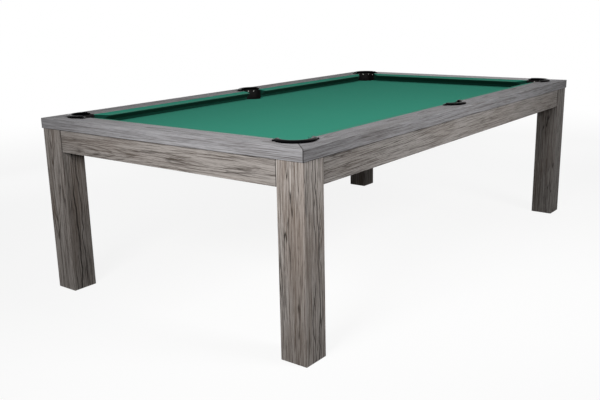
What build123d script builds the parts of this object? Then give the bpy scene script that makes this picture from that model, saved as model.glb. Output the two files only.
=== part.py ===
from build123d import *
import math
import os

# Convertible billiard table: a slate playing field inside a plain dining-table frame of square legs,
# flush aprons and a broad mitred top rail, with six leather drop pockets.
# Millimetres. +X runs along the table, +Z up. The origin is on the floor under the middle of the table.
# The front is the long side at -Y. Corner pieces are named by front or rear and left or right.

# Playing field, measured between the cushion noses
field_length = 2235.0
field_width = 1118.0

# Top rail: the visible wood, the cloth strip between wood and nose, and the rail's depth
table_height = 787.0
rail_wood_width = 115.0
cushion_strip = 50.0
rail_thickness = 45.0
subrail_width = 18.0
rail_arris = 2.0
mitre_gap = 0.4

# Legs and aprons
leg_size = 117.0
leg_inset = 4.0
leg_arris = 2.0
apron_inset = 6.5
apron_thickness = 25.0
apron_height = 98.0
apron_arris = 1.5

# Slate bed, its wooden backing and the cloth
slate_beyond_nose = 77.0
slate_thickness = 25.4
slate_pieces = 3
slate_seam = 0.3
backing_thickness = 19.0
backing_setback = 2.0
cloth_thickness = 1.2
cloth_beyond_nose = 64.0

# Cushion section
nose_height = 36.5
nose_radius = 2.0
cushion_back_height = 28.0
cloth_step = 0.5
facing_thickness = 3.0
corner_mouth = 120.0
corner_facing_angle = 38.0
side_mouth = 132.0
side_facing_angle = 14.0

# Feather strip: the thin wooden strip that wedges the rail cloth into a groove beside the wood
feather_width = 4.0
feather_depth = 7.0
feather_clearance = 0.2

# Pockets: centres are measured out from the lines of the cushion noses
corner_pocket_behind_nose = 30.0
side_pocket_behind_nose = 49.0
pocket_radius = 58.0
pocket_wall = 3.0
pocket_depth = 97.0
pocket_bottom_radius = 20.0
pocket_clearance = 1.0
slate_pocket_clearance = 3.0
frame_pocket_clearance = 4.0
corner_shield_half_angle = 122.0
side_shield_half_angle = 104.0
cup_slot_count = 8
cup_slot_width = 22.0
cup_slot_margin = 10.0

# Pocket irons: a crowned bar round the back of each pocket, a skirt inside it, an ear at each end
iron_width = 20.0
iron_crown_rise = 11.0
iron_crown_share = 0.35
iron_inner_rise = 8.5
iron_outer_rise = 6.5
iron_seat_depth = 3.0
iron_seat_clearance = 0.3
iron_skirt_thickness = 3.0
iron_skirt_depth = 20.0
iron_skirt_clearance = 0.2
iron_ear_radius = 12.5
iron_ear_rise = 5.5
iron_ear_arris = 1.5
iron_ear_offset = 14.0
corner_iron_half_angle = 90.0
side_iron_half_angle = 76.0
ear_screw_radius = 2.5
ear_screw_length = 32.0
ear_screw_head_radius = 5.0
ear_screw_head_height = 2.4
ear_screw_spot_clearance = 0.6

# Rivets that hold the leather to the iron's skirt
rivet_radius = 2.0
rivet_head_radius = 3.6
rivet_head_height = 1.4
rivet_head_gap = 0.15
rivet_hole_clearance = 0.2
rivet_below_seat = 9.0
rivets_per_pocket = 5
rivet_spread_share = 0.8
rivet_bevel_share = 0.6

# Frame under the slate: two long beams half-lapped with four cross members
beam_width = 40.0
beam_height = 53.0
beam_past_nose = 60.0
end_member_past_nose = 60.0
seam_member_width = 90.0
lap_clearance = 0.2

# Steel angles that tie aprons to legs, and beams to aprons
angle_thickness = 3.0
angle_arm = 38.0
angle_pocket_gap = 4.0
leg_angle_height = 66.0
beam_angle_height = 44.0
angle_edge_to_bolt = 14.0
angle_bolt_radius = 3.5
wood_bolt_length = 19.0
leg_bolt_length = 41.0

# Bolts and screws that hold rails and slate
bolt_head_across_flats = 13.0
bolt_head_height = 5.3
rail_bolt_radius = 4.0
rail_bolt_into_rail = 28.0
rail_bolt_behind_nose = 52.0
rail_bolt_end_margin = 110.0
rail_bolts_per_cushion = 3
washer_radius = 11.0
washer_thickness = 1.6
bolt_clearance = 0.5
access_hole_radius = 15.0
slate_screw_radius = 3.0
slate_screw_head_radius = 6.5
slate_screw_head_height = 3.5
slate_screw_length = 70.0
slate_screw_from_seam = 22.0

# Levelling feet, screwed up into the leg until the glide is inside its recess
glide_radius = 24.0
glide_thickness = 7.0
glide_arris = 1.0
glide_recess_clearance = 3.0
glide_lift = 1.0
stud_radius = 5.0
stud_length = 46.0
stud_running_clearance = 0.08
stud_collar_across_flats = 17.0
stud_collar_height = 6.0
stud_toe_radius = 7.0
stud_toe_height = 2.5
stud_toe_floor = 1.8
stud_neck_radius = 4.0
insert_radius = 9.0
insert_length = 22.0
insert_flange_radius = 15.0
insert_flange_thickness = 2.0
stop_gap = 0.3
toe_clearance = 0.15
stud_hole_clearance = 1.5
stud_hole_end_gap = 6.0

# One overrun serves every cut that has to run past a face
overrun = 5.0
square = 90.0
diagonal = 45.0

# Levels and lines that follow from the sizes above
rail_total = rail_wood_width + cushion_strip
corner_pocket_offset = rail_total - corner_pocket_behind_nose
side_pocket_offset = rail_total - side_pocket_behind_nose
beam_line = rail_total + beam_past_nose
end_member_line = rail_total + end_member_past_nose
table_length = field_length + 2 * rail_total
table_width = field_width + 2 * rail_total
slate_top = table_height - rail_thickness
bed_level = slate_top + cloth_thickness
slate_bottom = slate_top - slate_thickness
backing_bottom = slate_bottom - backing_thickness
beam_bottom = backing_bottom - beam_height
apron_bottom = slate_top - apron_height
pocket_bottom = slate_top - pocket_depth
subrail_face = rail_wood_width + subrail_width
feather_inner = rail_wood_width + feather_width
slate_edge = rail_total - slate_beyond_nose
slate_length = field_length + 2 * slate_beyond_nose
slate_width = field_width + 2 * slate_beyond_nose
leg_inner = leg_inset + leg_size
apron_inner = apron_inset + apron_thickness
pocket_outer = pocket_radius + pocket_wall
pocket_cut = pocket_outer + pocket_clearance
skirt_inner = pocket_outer + iron_skirt_clearance
skirt_outer = skirt_inner + iron_skirt_thickness
rail_pocket_cut = skirt_outer + iron_skirt_clearance
slate_pocket_cut = pocket_outer + slate_pocket_clearance
frame_pocket_cut = pocket_outer + frame_pocket_clearance
iron_seat_level = table_height - iron_seat_depth
glide_top = glide_lift + glide_thickness
collar_bottom = glide_top + stop_gap
collar_top = collar_bottom + stud_collar_height
insert_bottom = collar_top + stop_gap
insert_seat = insert_bottom + insert_flange_thickness
stud_top = collar_top + stud_length
toe_bottom = glide_lift + stud_toe_floor
toe_top = toe_bottom + stud_toe_height

# The four corners as signs, and the turn that points a pocket outwards there
corners = {
    "front_left": (-1, -1, -diagonal),
    "front_right": (1, -1, diagonal),
    "rear_left": (-1, 1, -diagonal - square),
    "rear_right": (1, 1, diagonal + square),
}

# Rails as (length, distance across the table, whether a side pocket is in it)
long_rail = (table_length, table_width, True)
short_rail = (table_width, table_length, False)


# Small shapes
def at(x, y, z=0.0):
    return Location((x, y, z))


def block(low, high):
    """A box between two corners."""
    size = [upper - lower for lower, upper in zip(low, high)]
    return Location(tuple(low)) * Box(*size, align=(Align.MIN, Align.MIN, Align.MIN))


def rod(radius, low, high, x=0.0, y=0.0):
    """A round bar or hole between two heights."""
    return at(x, y, low) * Cylinder(radius, high - low, align=(Align.CENTER, Align.CENTER, Align.MIN))


def hexagon(across_flats, low, high, x=0.0, y=0.0):
    """A hexagon head between two heights."""
    outline = RegularPolygon(across_flats / 2, 6, major_radius=False)
    return at(x, y, low) * extrude(outline, high - low)


def plan(points, low, high):
    """An outline seen from above, raised between two heights."""
    return at(0, 0, low) * extrude(make_face(Polyline(*points, close=True)), high - low)


def window(low, high):
    """A rectangle between two corners of a section."""
    return make_face(Polyline(low, (high[0], low[1]), high, (low[0], high[1]), close=True))


def along_x(section, across, length):
    """A section drawn as (depth from the outer face, height), run along a rail at the front."""
    plane = Plane(origin=(-length / 2, -across / 2, 0), x_dir=(0, 1, 0), z_dir=(1, 0, 0))
    return extrude(plane * section, length)


def swept_round(section, half_angle):
    """A section drawn as (distance from a pocket's axis, height), turned about it, centred on -Y."""
    turned = revolve(Plane.XZ * section, Axis.Z, 2 * half_angle)
    return Location((0, 0, 0), (0, 0, -square - half_angle)) * turned


def highest_rim(shape):
    return shape.edges().filter_by(GeomType.CIRCLE).sort_by(Axis.Z)[-1]


def lowest_rim(shape):
    return shape.edges().filter_by(GeomType.CIRCLE).sort_by(Axis.Z)[0]


def group(pieces):
    """Separate solids that share one name."""
    return Compound([solid for piece in pieces for solid in piece.solids()])


def without(piece, cuts):
    for cut in cuts:
        piece -= cut
    return piece


# Where the pockets are, and the openings that every layer has round them
def pocket_places():
    """Centre and turn of every pocket, by name."""
    places = {}
    for name, (sign_x, sign_y, turn) in corners.items():
        x = sign_x * (table_length / 2 - corner_pocket_offset)
        y = sign_y * (table_width / 2 - corner_pocket_offset)
        places[name] = (x, y, turn)
    side_y = table_width / 2 - side_pocket_offset
    places["front_side"] = (0.0, -side_y, 0.0)
    places["rear_side"] = (0.0, side_y, 2 * square)
    return places


def at_pocket(name):
    x, y, turn = pocket_places()[name]
    return Location((x, y, 0), (0, 0, turn))


def pocket_bites(radius, low, high):
    """For each pocket its round opening, with a straight run out past the edge of a plate."""
    reach = corner_pocket_offset + side_pocket_offset
    slot = block((-radius, -reach, low - overrun), (radius, 0, high + overrun))
    bite = rod(radius, low - overrun, high + overrun) + slot
    return [at_pocket(name) * bite for name in pocket_places()]


# Pocket irons, their screws and rivets, and the leather
def ear_place(half_angle, sign):
    reach = pocket_radius + iron_ear_offset
    angle = math.radians(half_angle)
    return sign * reach * math.sin(angle), -reach * math.cos(angle)


def iron_section():
    """Crowned bar with a lip over the leather's edge and a skirt behind the leather."""
    outer = pocket_radius + iron_width
    skirt_low = iron_seat_level - iron_skirt_depth
    inner_top = (pocket_radius, table_height + iron_inner_rise)
    crown = (pocket_radius + iron_width * iron_crown_share, table_height + iron_crown_rise)
    outer_top = (outer, table_height + iron_outer_rise)
    below = [
        (outer, iron_seat_level),
        (skirt_outer, iron_seat_level),
        (skirt_outer, skirt_low),
        (skirt_inner, skirt_low),
        (skirt_inner, iron_seat_level),
        (pocket_radius, iron_seat_level),
    ]
    return make_face(ThreePointArc(inner_top, crown, outer_top) + Polyline(outer_top, *below, inner_top))


def iron(half_angle):
    """The bar round the back of a pocket, with a flat ear at each end for a screw."""
    top = table_height + iron_crown_rise + overrun
    ear_top = table_height + iron_ear_rise
    bar = swept_round(iron_section(), half_angle)
    ears = [ear_place(half_angle, sign) for sign in (-1, 1)]
    for x, y in ears:
        ear = rod(iron_ear_radius, iron_seat_level, ear_top, x, y)
        bar += fillet(highest_rim(ear), iron_ear_arris)
    bar -= rod(pocket_radius, iron_seat_level - overrun, top)
    for x, y in ears:
        bar -= rod(ear_screw_radius + bolt_clearance, iron_seat_level - overrun, top, x, y)
        bar -= rod(ear_screw_head_radius + ear_screw_spot_clearance, ear_top, top, x, y)
    return without(bar, rivets(half_angle, rivet_hole_clearance))


def iron_seat(half_angle):
    """The shallow recess that the iron sits in."""
    high = table_height + overrun
    outer = pocket_radius + iron_width + iron_seat_clearance
    seat = swept_round(window((pocket_radius, iron_seat_level), (outer, high)), half_angle)
    for sign in (-1, 1):
        x, y = ear_place(half_angle, sign)
        seat += rod(iron_ear_radius + iron_seat_clearance, iron_seat_level, high, x, y)
    return seat


def ear_screws(half_angle, clearance=0.0):
    """Both screws of one iron, or with a clearance the holes for their shanks."""
    head_low = table_height + iron_ear_rise
    found = []
    for sign in (-1, 1):
        x, y = ear_place(half_angle, sign)
        screw = rod(ear_screw_radius + clearance, head_low - ear_screw_length - clearance, head_low, x, y)
        if not clearance:
            head = rod(ear_screw_head_radius, head_low, head_low + ear_screw_head_height, x, y)
            screw += fillet(highest_rim(head), ear_screw_head_height / 2)
        found.append(screw)
    return found


def rivets(half_angle, clearance=0.0):
    """Rivets through the leather and the iron's skirt, or with a clearance their holes."""
    z = iron_seat_level - rivet_below_seat
    reach = half_angle * rivet_spread_share
    step = 2 * reach / (rivets_per_pocket - 1)
    head_low = pocket_radius - rivet_head_gap - rivet_head_height
    rivet = rod(rivet_radius + clearance, head_low - clearance, skirt_outer + clearance)
    if not clearance:
        head = rod(rivet_head_radius, head_low, head_low + rivet_head_height)
        rivet += chamfer(lowest_rim(head), rivet_head_height * rivet_bevel_share)
    # A rivet is drawn upright and laid down so that it points outwards
    found = []
    for index in range(rivets_per_pocket):
        turn = Location((0, 0, z), (0, 0, index * step - reach))
        found.append(turn * Location((0, 0, 0), (square, 0, 0)) * rivet)
    return found


def leather(iron_half_angle, shield_half_angle):
    """One pocket's leather: a shield up to the iron at the back, and a strapped cup below the slate."""
    inner_bottom_radius = max(pocket_bottom_radius - pocket_wall, pocket_wall)
    cup = rod(pocket_outer, pocket_bottom, slate_bottom)
    cup = fillet(lowest_rim(cup), pocket_bottom_radius)
    hollow = rod(pocket_radius, pocket_bottom + pocket_wall, slate_bottom + overrun)
    hollow = fillet(lowest_rim(hollow), inner_bottom_radius)
    wall = window((pocket_radius, slate_bottom - cup_slot_margin), (pocket_outer, iron_seat_level))
    boot = cup + swept_round(wall, shield_half_angle) - hollow
    slot_low = pocket_bottom + pocket_bottom_radius
    slot_high = slate_bottom - cup_slot_margin
    half_slot = cup_slot_width / 2
    slot = block((-half_slot, 0, slot_low), (half_slot, pocket_outer + overrun, slot_high))
    step = 360 / cup_slot_count
    slots = [Location((0, 0, 0), (0, 0, index * step)) * slot for index in range(cup_slot_count)]
    return without(boot, slots + rivets(iron_half_angle, rivet_hole_clearance))


# Cushions, built on a rail at the front
def facing_run(depth, angle_from_rail):
    """How far a pocket facing runs along the rail while it goes this far back from the nose."""
    return depth / math.tan(math.radians(angle_from_rail))


def cushion_spans(rail):
    """The cushions of one rail: for each, the two x at the nose and the two at the wood."""
    length, across, has_side_pocket = rail
    corner_tip = length / 2 - rail_total - corner_mouth / math.sqrt(2)
    corner_run = facing_run(cushion_strip, corner_facing_angle)
    side_tip = side_mouth / 2
    side_run = facing_run(cushion_strip, square - side_facing_angle)
    if not has_side_pocket:
        return [(-corner_tip, corner_tip, -corner_tip - corner_run, corner_tip + corner_run)]
    left = (-corner_tip, -side_tip, -corner_tip - corner_run, -side_tip + side_run)
    right = (side_tip, corner_tip, side_tip - side_run, corner_tip + corner_run)
    return [left, right]


def span_prism(span, across, inset):
    """The plan of a cushion between its two facings, drawn in by the inset, as a tall prism."""
    nose_low, nose_high, wood_low, wood_high = span
    nose_y = rail_total - across / 2
    wood_y = rail_wood_width - across / 2
    low_run = nose_low - wood_low
    high_run = wood_high - nose_high
    low_shift = inset * math.hypot(low_run, cushion_strip) / cushion_strip
    high_shift = inset * math.hypot(high_run, cushion_strip) / cushion_strip
    # The outline is carried past the nose and behind the wood, so the shape is cut at its ends only
    extra_share = overrun / cushion_strip
    outline = [
        (wood_low + low_shift - low_run * extra_share, wood_y - overrun),
        (nose_low + low_shift + low_run * extra_share, nose_y + overrun),
        (nose_high - high_shift - high_run * extra_share, nose_y + overrun),
        (wood_high - high_shift + high_run * extra_share, wood_y - overrun),
    ]
    return plan(outline, slate_bottom, table_height + overrun)


def core_outline():
    """Section under the rail cloth, from the wood's edge to the nose: the subrail, then the rubber."""
    cloth_top = table_height - cloth_step
    nose_level = bed_level + nose_height
    top = cloth_top - cloth_thickness
    slope = (cloth_top - nose_level) / cushion_strip
    rubber_top = top - slope * subrail_width
    return [
        (rail_wood_width, top),
        (subrail_face, rubber_top),
        (rail_total - cloth_thickness, nose_level),
        (subrail_face, rubber_top - cushion_back_height),
        (subrail_face, bed_level),
        (rail_wood_width, bed_level),
    ]


def core_section():
    face = make_face(Polyline(*core_outline(), close=True))
    nose = face.vertices().sort_by(Axis.X)[-1]
    return fillet(nose, nose_radius)


def rubber_section():
    beyond_nose = (rail_total + overrun, table_height + overrun)
    return core_section() & window((subrail_face, bed_level - overrun), beyond_nose)


def feather_groove():
    low = table_height - cloth_step - cloth_thickness - feather_depth - feather_clearance
    return window((rail_wood_width, low), (feather_inner, table_height))


def feather_section():
    top = table_height - cloth_step - cloth_thickness
    low = (rail_wood_width + feather_clearance, top - feather_depth)
    return core_section() & window(low, (feather_inner - feather_clearance, table_height))


def subrail_section():
    """The wooden ledge behind the rubber, grooved for the feather strip."""
    outline = core_outline()
    ledge = [outline[0], outline[1], outline[4], outline[5]]
    return make_face(Polyline(*ledge, close=True)) - feather_groove()


def covered_section():
    """Section over the cloth: the core grown by the cloth, cut at the wood's edge and above the bed."""
    grown = offset(core_section(), cloth_thickness, kind=Kind.ARC)
    beyond_nose = (rail_total + overrun, table_height + overrun)
    return grown & window((rail_wood_width, bed_level), beyond_nose)


def rail_pockets(rail, piece):
    """A pocket piece, made from an iron's half angle, placed at each pocket in this rail."""
    length, across, has_side_pocket = rail
    x = length / 2 - corner_pocket_offset
    y = corner_pocket_offset - across / 2
    corner_piece = piece(corner_iron_half_angle)
    placed = [
        Location((-x, y, 0), (0, 0, -diagonal)) * corner_piece,
        Location((x, y, 0), (0, 0, diagonal)) * corner_piece,
    ]
    if has_side_pocket:
        placed.append(at(0, side_pocket_offset - across / 2) * piece(side_iron_half_angle))
    return placed


def pocket_holes(rail, radius):
    return rail_pockets(rail, lambda half_angle: rod(radius, slate_bottom, table_height + overrun))


def rail_bolt_places(rail):
    """Bolt centres of one rail, evenly spaced along each cushion."""
    length, across, has_side_pocket = rail
    y = rail_total - rail_bolt_behind_nose - across / 2
    places = []
    for nose_low, nose_high, wood_low, wood_high in cushion_spans(rail):
        first = nose_low + rail_bolt_end_margin
        step = (nose_high - nose_low - 2 * rail_bolt_end_margin) / (rail_bolts_per_cushion - 1)
        places += [(first + step * index, y) for index in range(rail_bolts_per_cushion)]
    return places


def rail_cushions(rail):
    """The rubber, facings, feather strip and cloth of each cushion of one rail, from left to right."""
    length, across, has_side_pocket = rail
    rubber = along_x(rubber_section(), across, length)
    feather = along_x(feather_section(), across, length)
    core = along_x(core_section(), across, length)
    covered = along_x(covered_section(), across, length)
    cloth_holes = pocket_holes(rail, pocket_cut)
    core_holes = pocket_holes(rail, pocket_cut + cloth_thickness)
    found = []
    for span in cushion_spans(rail):
        inside_cloth = span_prism(span, across, cloth_thickness)
        inside_facings = span_prism(span, across, cloth_thickness + facing_thickness)
        inner = without(core & inside_cloth, core_holes)
        pieces = {
            "rubber": without(rubber & inside_facings, core_holes),
            "facings": without(rubber & inside_cloth, core_holes + [inside_facings]),
            "feather": without(feather & inside_cloth, core_holes),
            "cloth": without(covered & span_prism(span, across, 0), cloth_holes) - inner,
        }
        found.append(pieces)
    return found


def top_rail(rail):
    """Wood of one rail: a mitred board and its subrail, with pocket openings and seats for the irons."""
    length, across, has_side_pocket = rail
    outline = [
        (0, slate_top),
        (slate_edge, slate_top),
        (slate_edge, bed_level),
        (rail_wood_width, bed_level),
        (rail_wood_width, table_height),
        (0, table_height),
    ]
    section = make_face(Polyline(*outline, close=True))
    section = fillet(section.vertices().sort_by(Axis.X)[:2], rail_arris)
    half_gap = mitre_gap / math.sqrt(2)
    deep = rail_total + overrun
    mitred = [
        (half_gap - overrun - length / 2, -across / 2 - overrun),
        (length / 2 - half_gap + overrun, -across / 2 - overrun),
        (length / 2 - half_gap - deep, deep - across / 2),
        (half_gap + deep - length / 2, deep - across / 2),
    ]
    board = along_x(section, across, length) & plan(mitred, slate_top - overrun, table_height + overrun)
    board = without(board, pocket_holes(rail, rail_pocket_cut) + rail_pockets(rail, iron_seat))
    subrail = along_x(subrail_section(), across, length)
    subrail_holes = pocket_holes(rail, pocket_cut + cloth_thickness)
    for span in cushion_spans(rail):
        board += without(subrail & span_prism(span, across, cloth_thickness), subrail_holes)
    for x, y in rail_bolt_places(rail):
        tip = slate_top + rail_bolt_into_rail + bolt_clearance
        board -= rod(rail_bolt_radius + bolt_clearance, slate_top - overrun, tip, x, y)
    screw_holes = rail_pockets(rail, lambda half_angle: group(ear_screws(half_angle, bolt_clearance)))
    return without(board, [hole for holes in screw_holes for hole in holes.solids()])


def turned_to(side, shape):
    """Carries a piece of the front rail to its own side of the table."""
    turn = {"front": 0, "rear": 2 * square, "left": -square, "right": square}[side]
    return Location((0, 0, 0), (0, 0, turn)) * shape


def rails_and_cushions():
    nodes = {}
    facings, feathers = [], []
    wood = {long_rail: top_rail(long_rail), short_rail: top_rail(short_rail)}
    cushions = {long_rail: rail_cushions(long_rail), short_rail: rail_cushions(short_rail)}
    sides = {"front": long_rail, "rear": long_rail, "left": short_rail, "right": short_rail}
    ends = {"front": ("_left", "_right"), "rear": ("_right", "_left"), "left": ("",), "right": ("",)}
    for side, rail in sides.items():
        nodes[f"top_rail_{side}"] = turned_to(side, wood[rail])
        rubbers = [pieces["rubber"] for pieces in cushions[rail]]
        nodes[f"cushion_rubber_{side}"] = turned_to(side, group(rubbers))
        for end, pieces in zip(ends[side], cushions[rail]):
            nodes[f"cushion_cloth_{side}{end}"] = turned_to(side, pieces["cloth"])
            facings.append(turned_to(side, pieces["facings"]))
            feathers.append(turned_to(side, pieces["feather"]))
    nodes["cushion_facings"] = group(facings)
    nodes["feather_strips"] = group(feathers)
    return nodes


# Rail bolts
def all_rail_bolt_places():
    places = []
    for x, y in rail_bolt_places(long_rail):
        places += [(x, y), (-x, -y)]
    for x, y in rail_bolt_places(short_rail):
        places += [(y, -x), (-y, x)]
    return places


def rail_bolt(x, y):
    """A bolt up through the slate into the rail, with its washer and hexagon head."""
    head_top = slate_bottom - washer_thickness
    bolt = rod(rail_bolt_radius, head_top, slate_top + rail_bolt_into_rail, x, y)
    bolt += rod(washer_radius, head_top, slate_bottom, x, y)
    bolt += hexagon(bolt_head_across_flats, head_top - bolt_head_height, head_top, x, y)
    return bolt


# Slate, backing and bed cloth
def slate_spans():
    step = slate_length / slate_pieces
    edges = [index * step - slate_length / 2 for index in range(slate_pieces + 1)]
    return list(zip(edges[:-1], edges[1:]))


def slate_screw_places(index):
    """Screws near the four corners of one slate, over the beams."""
    low, high = slate_spans()[index]
    y = table_width / 2 - beam_line
    end_x = table_length / 2 - end_member_line
    low_x = -end_x if index == 0 else low + slate_screw_from_seam
    high_x = end_x if index == slate_pieces - 1 else high - slate_screw_from_seam
    return [(x, sign * y) for x in (low_x, high_x) for sign in (-1, 1)]


def slate_screw(x, y, clearance=0.0):
    """A countersunk screw, or with a clearance its hole."""
    head_low = slate_top - slate_screw_head_height
    head = Cone(
        slate_screw_radius + clearance,
        slate_screw_head_radius + clearance,
        slate_screw_head_height,
        align=(Align.CENTER, Align.CENTER, Align.MIN),
    )
    shank = rod(slate_screw_radius + clearance, slate_top - slate_screw_length - clearance, head_low, x, y)
    return shank + at(x, y, head_low) * head


def all_slate_screws(clearance=0.0):
    places = [place for index in range(slate_pieces) for place in slate_screw_places(index)]
    return [slate_screw(x, y, clearance) for x, y in places]


def bed_plate(index, low, high, setback):
    """One third of the bed's length, drawn in by half a seam inside and by the setback at the edges."""
    x_low, x_high = slate_spans()[index]
    x_low += setback if index == 0 else slate_seam / 2
    x_high -= setback if index == slate_pieces - 1 else slate_seam / 2
    half_width = slate_width / 2 - setback
    return block((x_low, -half_width, low), (x_high, half_width, high))


def slates_and_backing():
    nodes = {}
    backings = []
    names = ("left", "middle", "right")
    slate_bites = pocket_bites(slate_pocket_cut, slate_bottom, slate_top)
    backing_bites = pocket_bites(frame_pocket_cut, backing_bottom, slate_bottom)
    for index in range(slate_pieces):
        name = names[index] if slate_pieces == len(names) else str(index + 1)
        slate = without(bed_plate(index, slate_bottom, slate_top, 0), slate_bites)
        backing = without(bed_plate(index, backing_bottom, slate_bottom, backing_setback), backing_bites)
        low_x, high_x = slate_spans()[index]
        low, high = backing_bottom - overrun, slate_top + overrun
        for x, y in all_rail_bolt_places():
            if low_x < x < high_x:
                slate -= rod(rail_bolt_radius + bolt_clearance, low, high, x, y)
                backing -= rod(access_hole_radius, low, high, x, y)
        screw_holes = [slate_screw(x, y, bolt_clearance) for x, y in slate_screw_places(index)]
        nodes[f"slate_{name}"] = without(slate, screw_holes)
        backings.append(without(backing, screw_holes))
    nodes["slate_backing"] = group(backings)
    return nodes


def bed_cloth():
    """The cloth of the bed, which runs under the cushions and is cut back round the pockets."""
    half_x = field_length / 2 + cloth_beyond_nose
    half_y = field_width / 2 + cloth_beyond_nose
    cloth = block((-half_x, -half_y, slate_top), (half_x, half_y, bed_level))
    cloth = without(cloth, pocket_bites(slate_pocket_cut, slate_top, bed_level))
    for x, y in all_rail_bolt_places():
        cloth -= rod(rail_bolt_radius + bolt_clearance, slate_top - overrun, bed_level + overrun, x, y)
    return cloth


# Frame under the slate
def member_places():
    """X and width of the cross members: one inside each end and one under each seam."""
    end_x = table_length / 2 - end_member_line
    seams = [(high, seam_member_width) for low, high in slate_spans()[:-1]]
    return [(-end_x, beam_width)] + seams + [(end_x, beam_width)]


def long_beam(side):
    """A long beam, notched from above where the cross members lie in it."""
    middle = {"front": -1, "rear": 1}[side] * (table_width / 2 - beam_line)
    half_length = table_length / 2 - apron_inner
    low_y = middle - beam_width / 2
    high_y = middle + beam_width / 2
    notch_low = backing_bottom - beam_height / 2
    beam = block((-half_length, low_y, beam_bottom), (half_length, high_y, backing_bottom))
    for x, width in member_places():
        half = width / 2 + lap_clearance
        low = (x - half, low_y - overrun, notch_low)
        beam -= block(low, (x + half, high_y + overrun, backing_bottom + overrun))
    holes = angle_bolts(f"long_beam_{side}", bolt_clearance)
    return without(beam, holes + all_slate_screws(bolt_clearance))


def cross_member(index):
    """A cross member, notched from below where it lies in the two long beams."""
    x, width = member_places()[index]
    half_length = table_width / 2 - apron_inner
    notch_high = backing_bottom - beam_height / 2 + lap_clearance
    low_x = x - width / 2
    high_x = x + width / 2
    member = block((low_x, -half_length, beam_bottom), (high_x, half_length, backing_bottom))
    for sign in (-1, 1):
        y = sign * (table_width / 2 - beam_line)
        half = beam_width / 2 + lap_clearance
        low = (low_x - overrun, y - half, beam_bottom - overrun)
        member -= block(low, (high_x + overrun, y + half, notch_high))
    holes = angle_bolts(f"member_{index}", bolt_clearance)
    return without(member, holes + all_slate_screws(bolt_clearance))


# Steel angles. Each is (inside corner, way along the first piece, way along the second piece,
# length of the second arm, height, middle height, first piece, second piece)
def angle_places():
    leg_reach = corner_pocket_offset - pocket_outer - angle_pocket_gap - apron_inner
    leg_level = slate_top - apron_height / 2
    beam_level = backing_bottom - beam_height / 2
    half_length = table_length / 2
    half_width = table_width / 2
    places = []
    for name, (sign_x, sign_y, turn) in corners.items():
        side, end = name.split("_")
        across, along = (0, -sign_y), (-sign_x, 0)
        leg_face = sign_x * (half_length - leg_inner), sign_y * (half_width - leg_inner)
        apron_face = sign_x * (half_length - apron_inner), sign_y * (half_width - apron_inner)
        on_leg = (leg_reach, leg_angle_height, leg_level)
        on_beam = (angle_arm, beam_angle_height, beam_level)
        long_apron, short_apron, post = f"apron_{side}", f"apron_{end}", f"leg_{name}"
        places.append(((leg_face[0], apron_face[1]), along, across, *on_leg, long_apron, post))
        places.append(((apron_face[0], leg_face[1]), across, along, *on_leg, short_apron, post))
        beam_corner = (apron_face[0], sign_y * (half_width - beam_line - beam_width / 2))
        places.append((beam_corner, across, along, *on_beam, short_apron, f"long_beam_{side}"))
        for index, (x, width) in enumerate(member_places()):
            if x * sign_x > 0:
                corner = (x - sign_x * width / 2, apron_face[1])
                places.append((corner, along, across, *on_beam, long_apron, f"member_{index}"))
    return places


def steel_angle(place):
    corner, first, second, second_arm, height, level, first_piece, second_piece = place
    angle = None
    for along, across, arm in ((first, second, angle_arm), (second, first, second_arm)):
        far_x = corner[0] + along[0] * arm + across[0] * angle_thickness
        far_y = corner[1] + along[1] * arm + across[1] * angle_thickness
        low = (min(corner[0], far_x), min(corner[1], far_y), level - height / 2)
        high = (max(corner[0], far_x), max(corner[1], far_y), level + height / 2)
        angle = block(low, high) if angle is None else angle + block(low, high)
    return without(angle, [bolt for owner, bolt in bolts_of(place, bolt_clearance)])


def level_bolt(start, way, length, clearance):
    """A hexagon bolt along a level direction from under its head, or with a clearance its hole."""
    radius = angle_bolt_radius + clearance
    if clearance:
        bolt = rod(radius, -overrun, length + clearance)
    else:
        bolt = rod(radius, 0, length) + hexagon(bolt_head_across_flats, -bolt_head_height, 0)
    return Plane(origin=start, z_dir=way).location * bolt


def bolts_of(place, clearance):
    """The four bolts of one angle, each with the name of the piece that it goes into."""
    corner, first, second, second_arm, height, level, first_piece, second_piece = place
    into_leg = second_piece.startswith("leg_")
    second_length = leg_bolt_length if into_leg else wood_bolt_length
    arms = (
        (first, second, angle_arm, wood_bolt_length, first_piece),
        (second, first, second_arm, second_length, second_piece),
    )
    found = []
    for along, across, arm, length, owner in arms:
        reach = (arm + angle_thickness) / 2
        x = corner[0] + along[0] * reach + across[0] * angle_thickness
        y = corner[1] + along[1] * reach + across[1] * angle_thickness
        for sign in (-1, 1):
            z = level + sign * (height / 2 - angle_edge_to_bolt)
            found.append((owner, level_bolt((x, y, z), (-across[0], -across[1], 0), length, clearance)))
    return found


def angle_bolts(piece, clearance):
    """The holes, or the bolts, of every angle that is screwed to this piece."""
    found = []
    for place in angle_places():
        if piece in place[-2:]:
            found += [bolt for owner, bolt in bolts_of(place, clearance) if owner == piece]
    return found


# Legs, aprons and levelling feet
def foot_place(name):
    sign_x, sign_y, turn = corners[name]
    middle = leg_inset + leg_size / 2
    return sign_x * (table_length / 2 - middle), sign_y * (table_width / 2 - middle)


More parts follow.
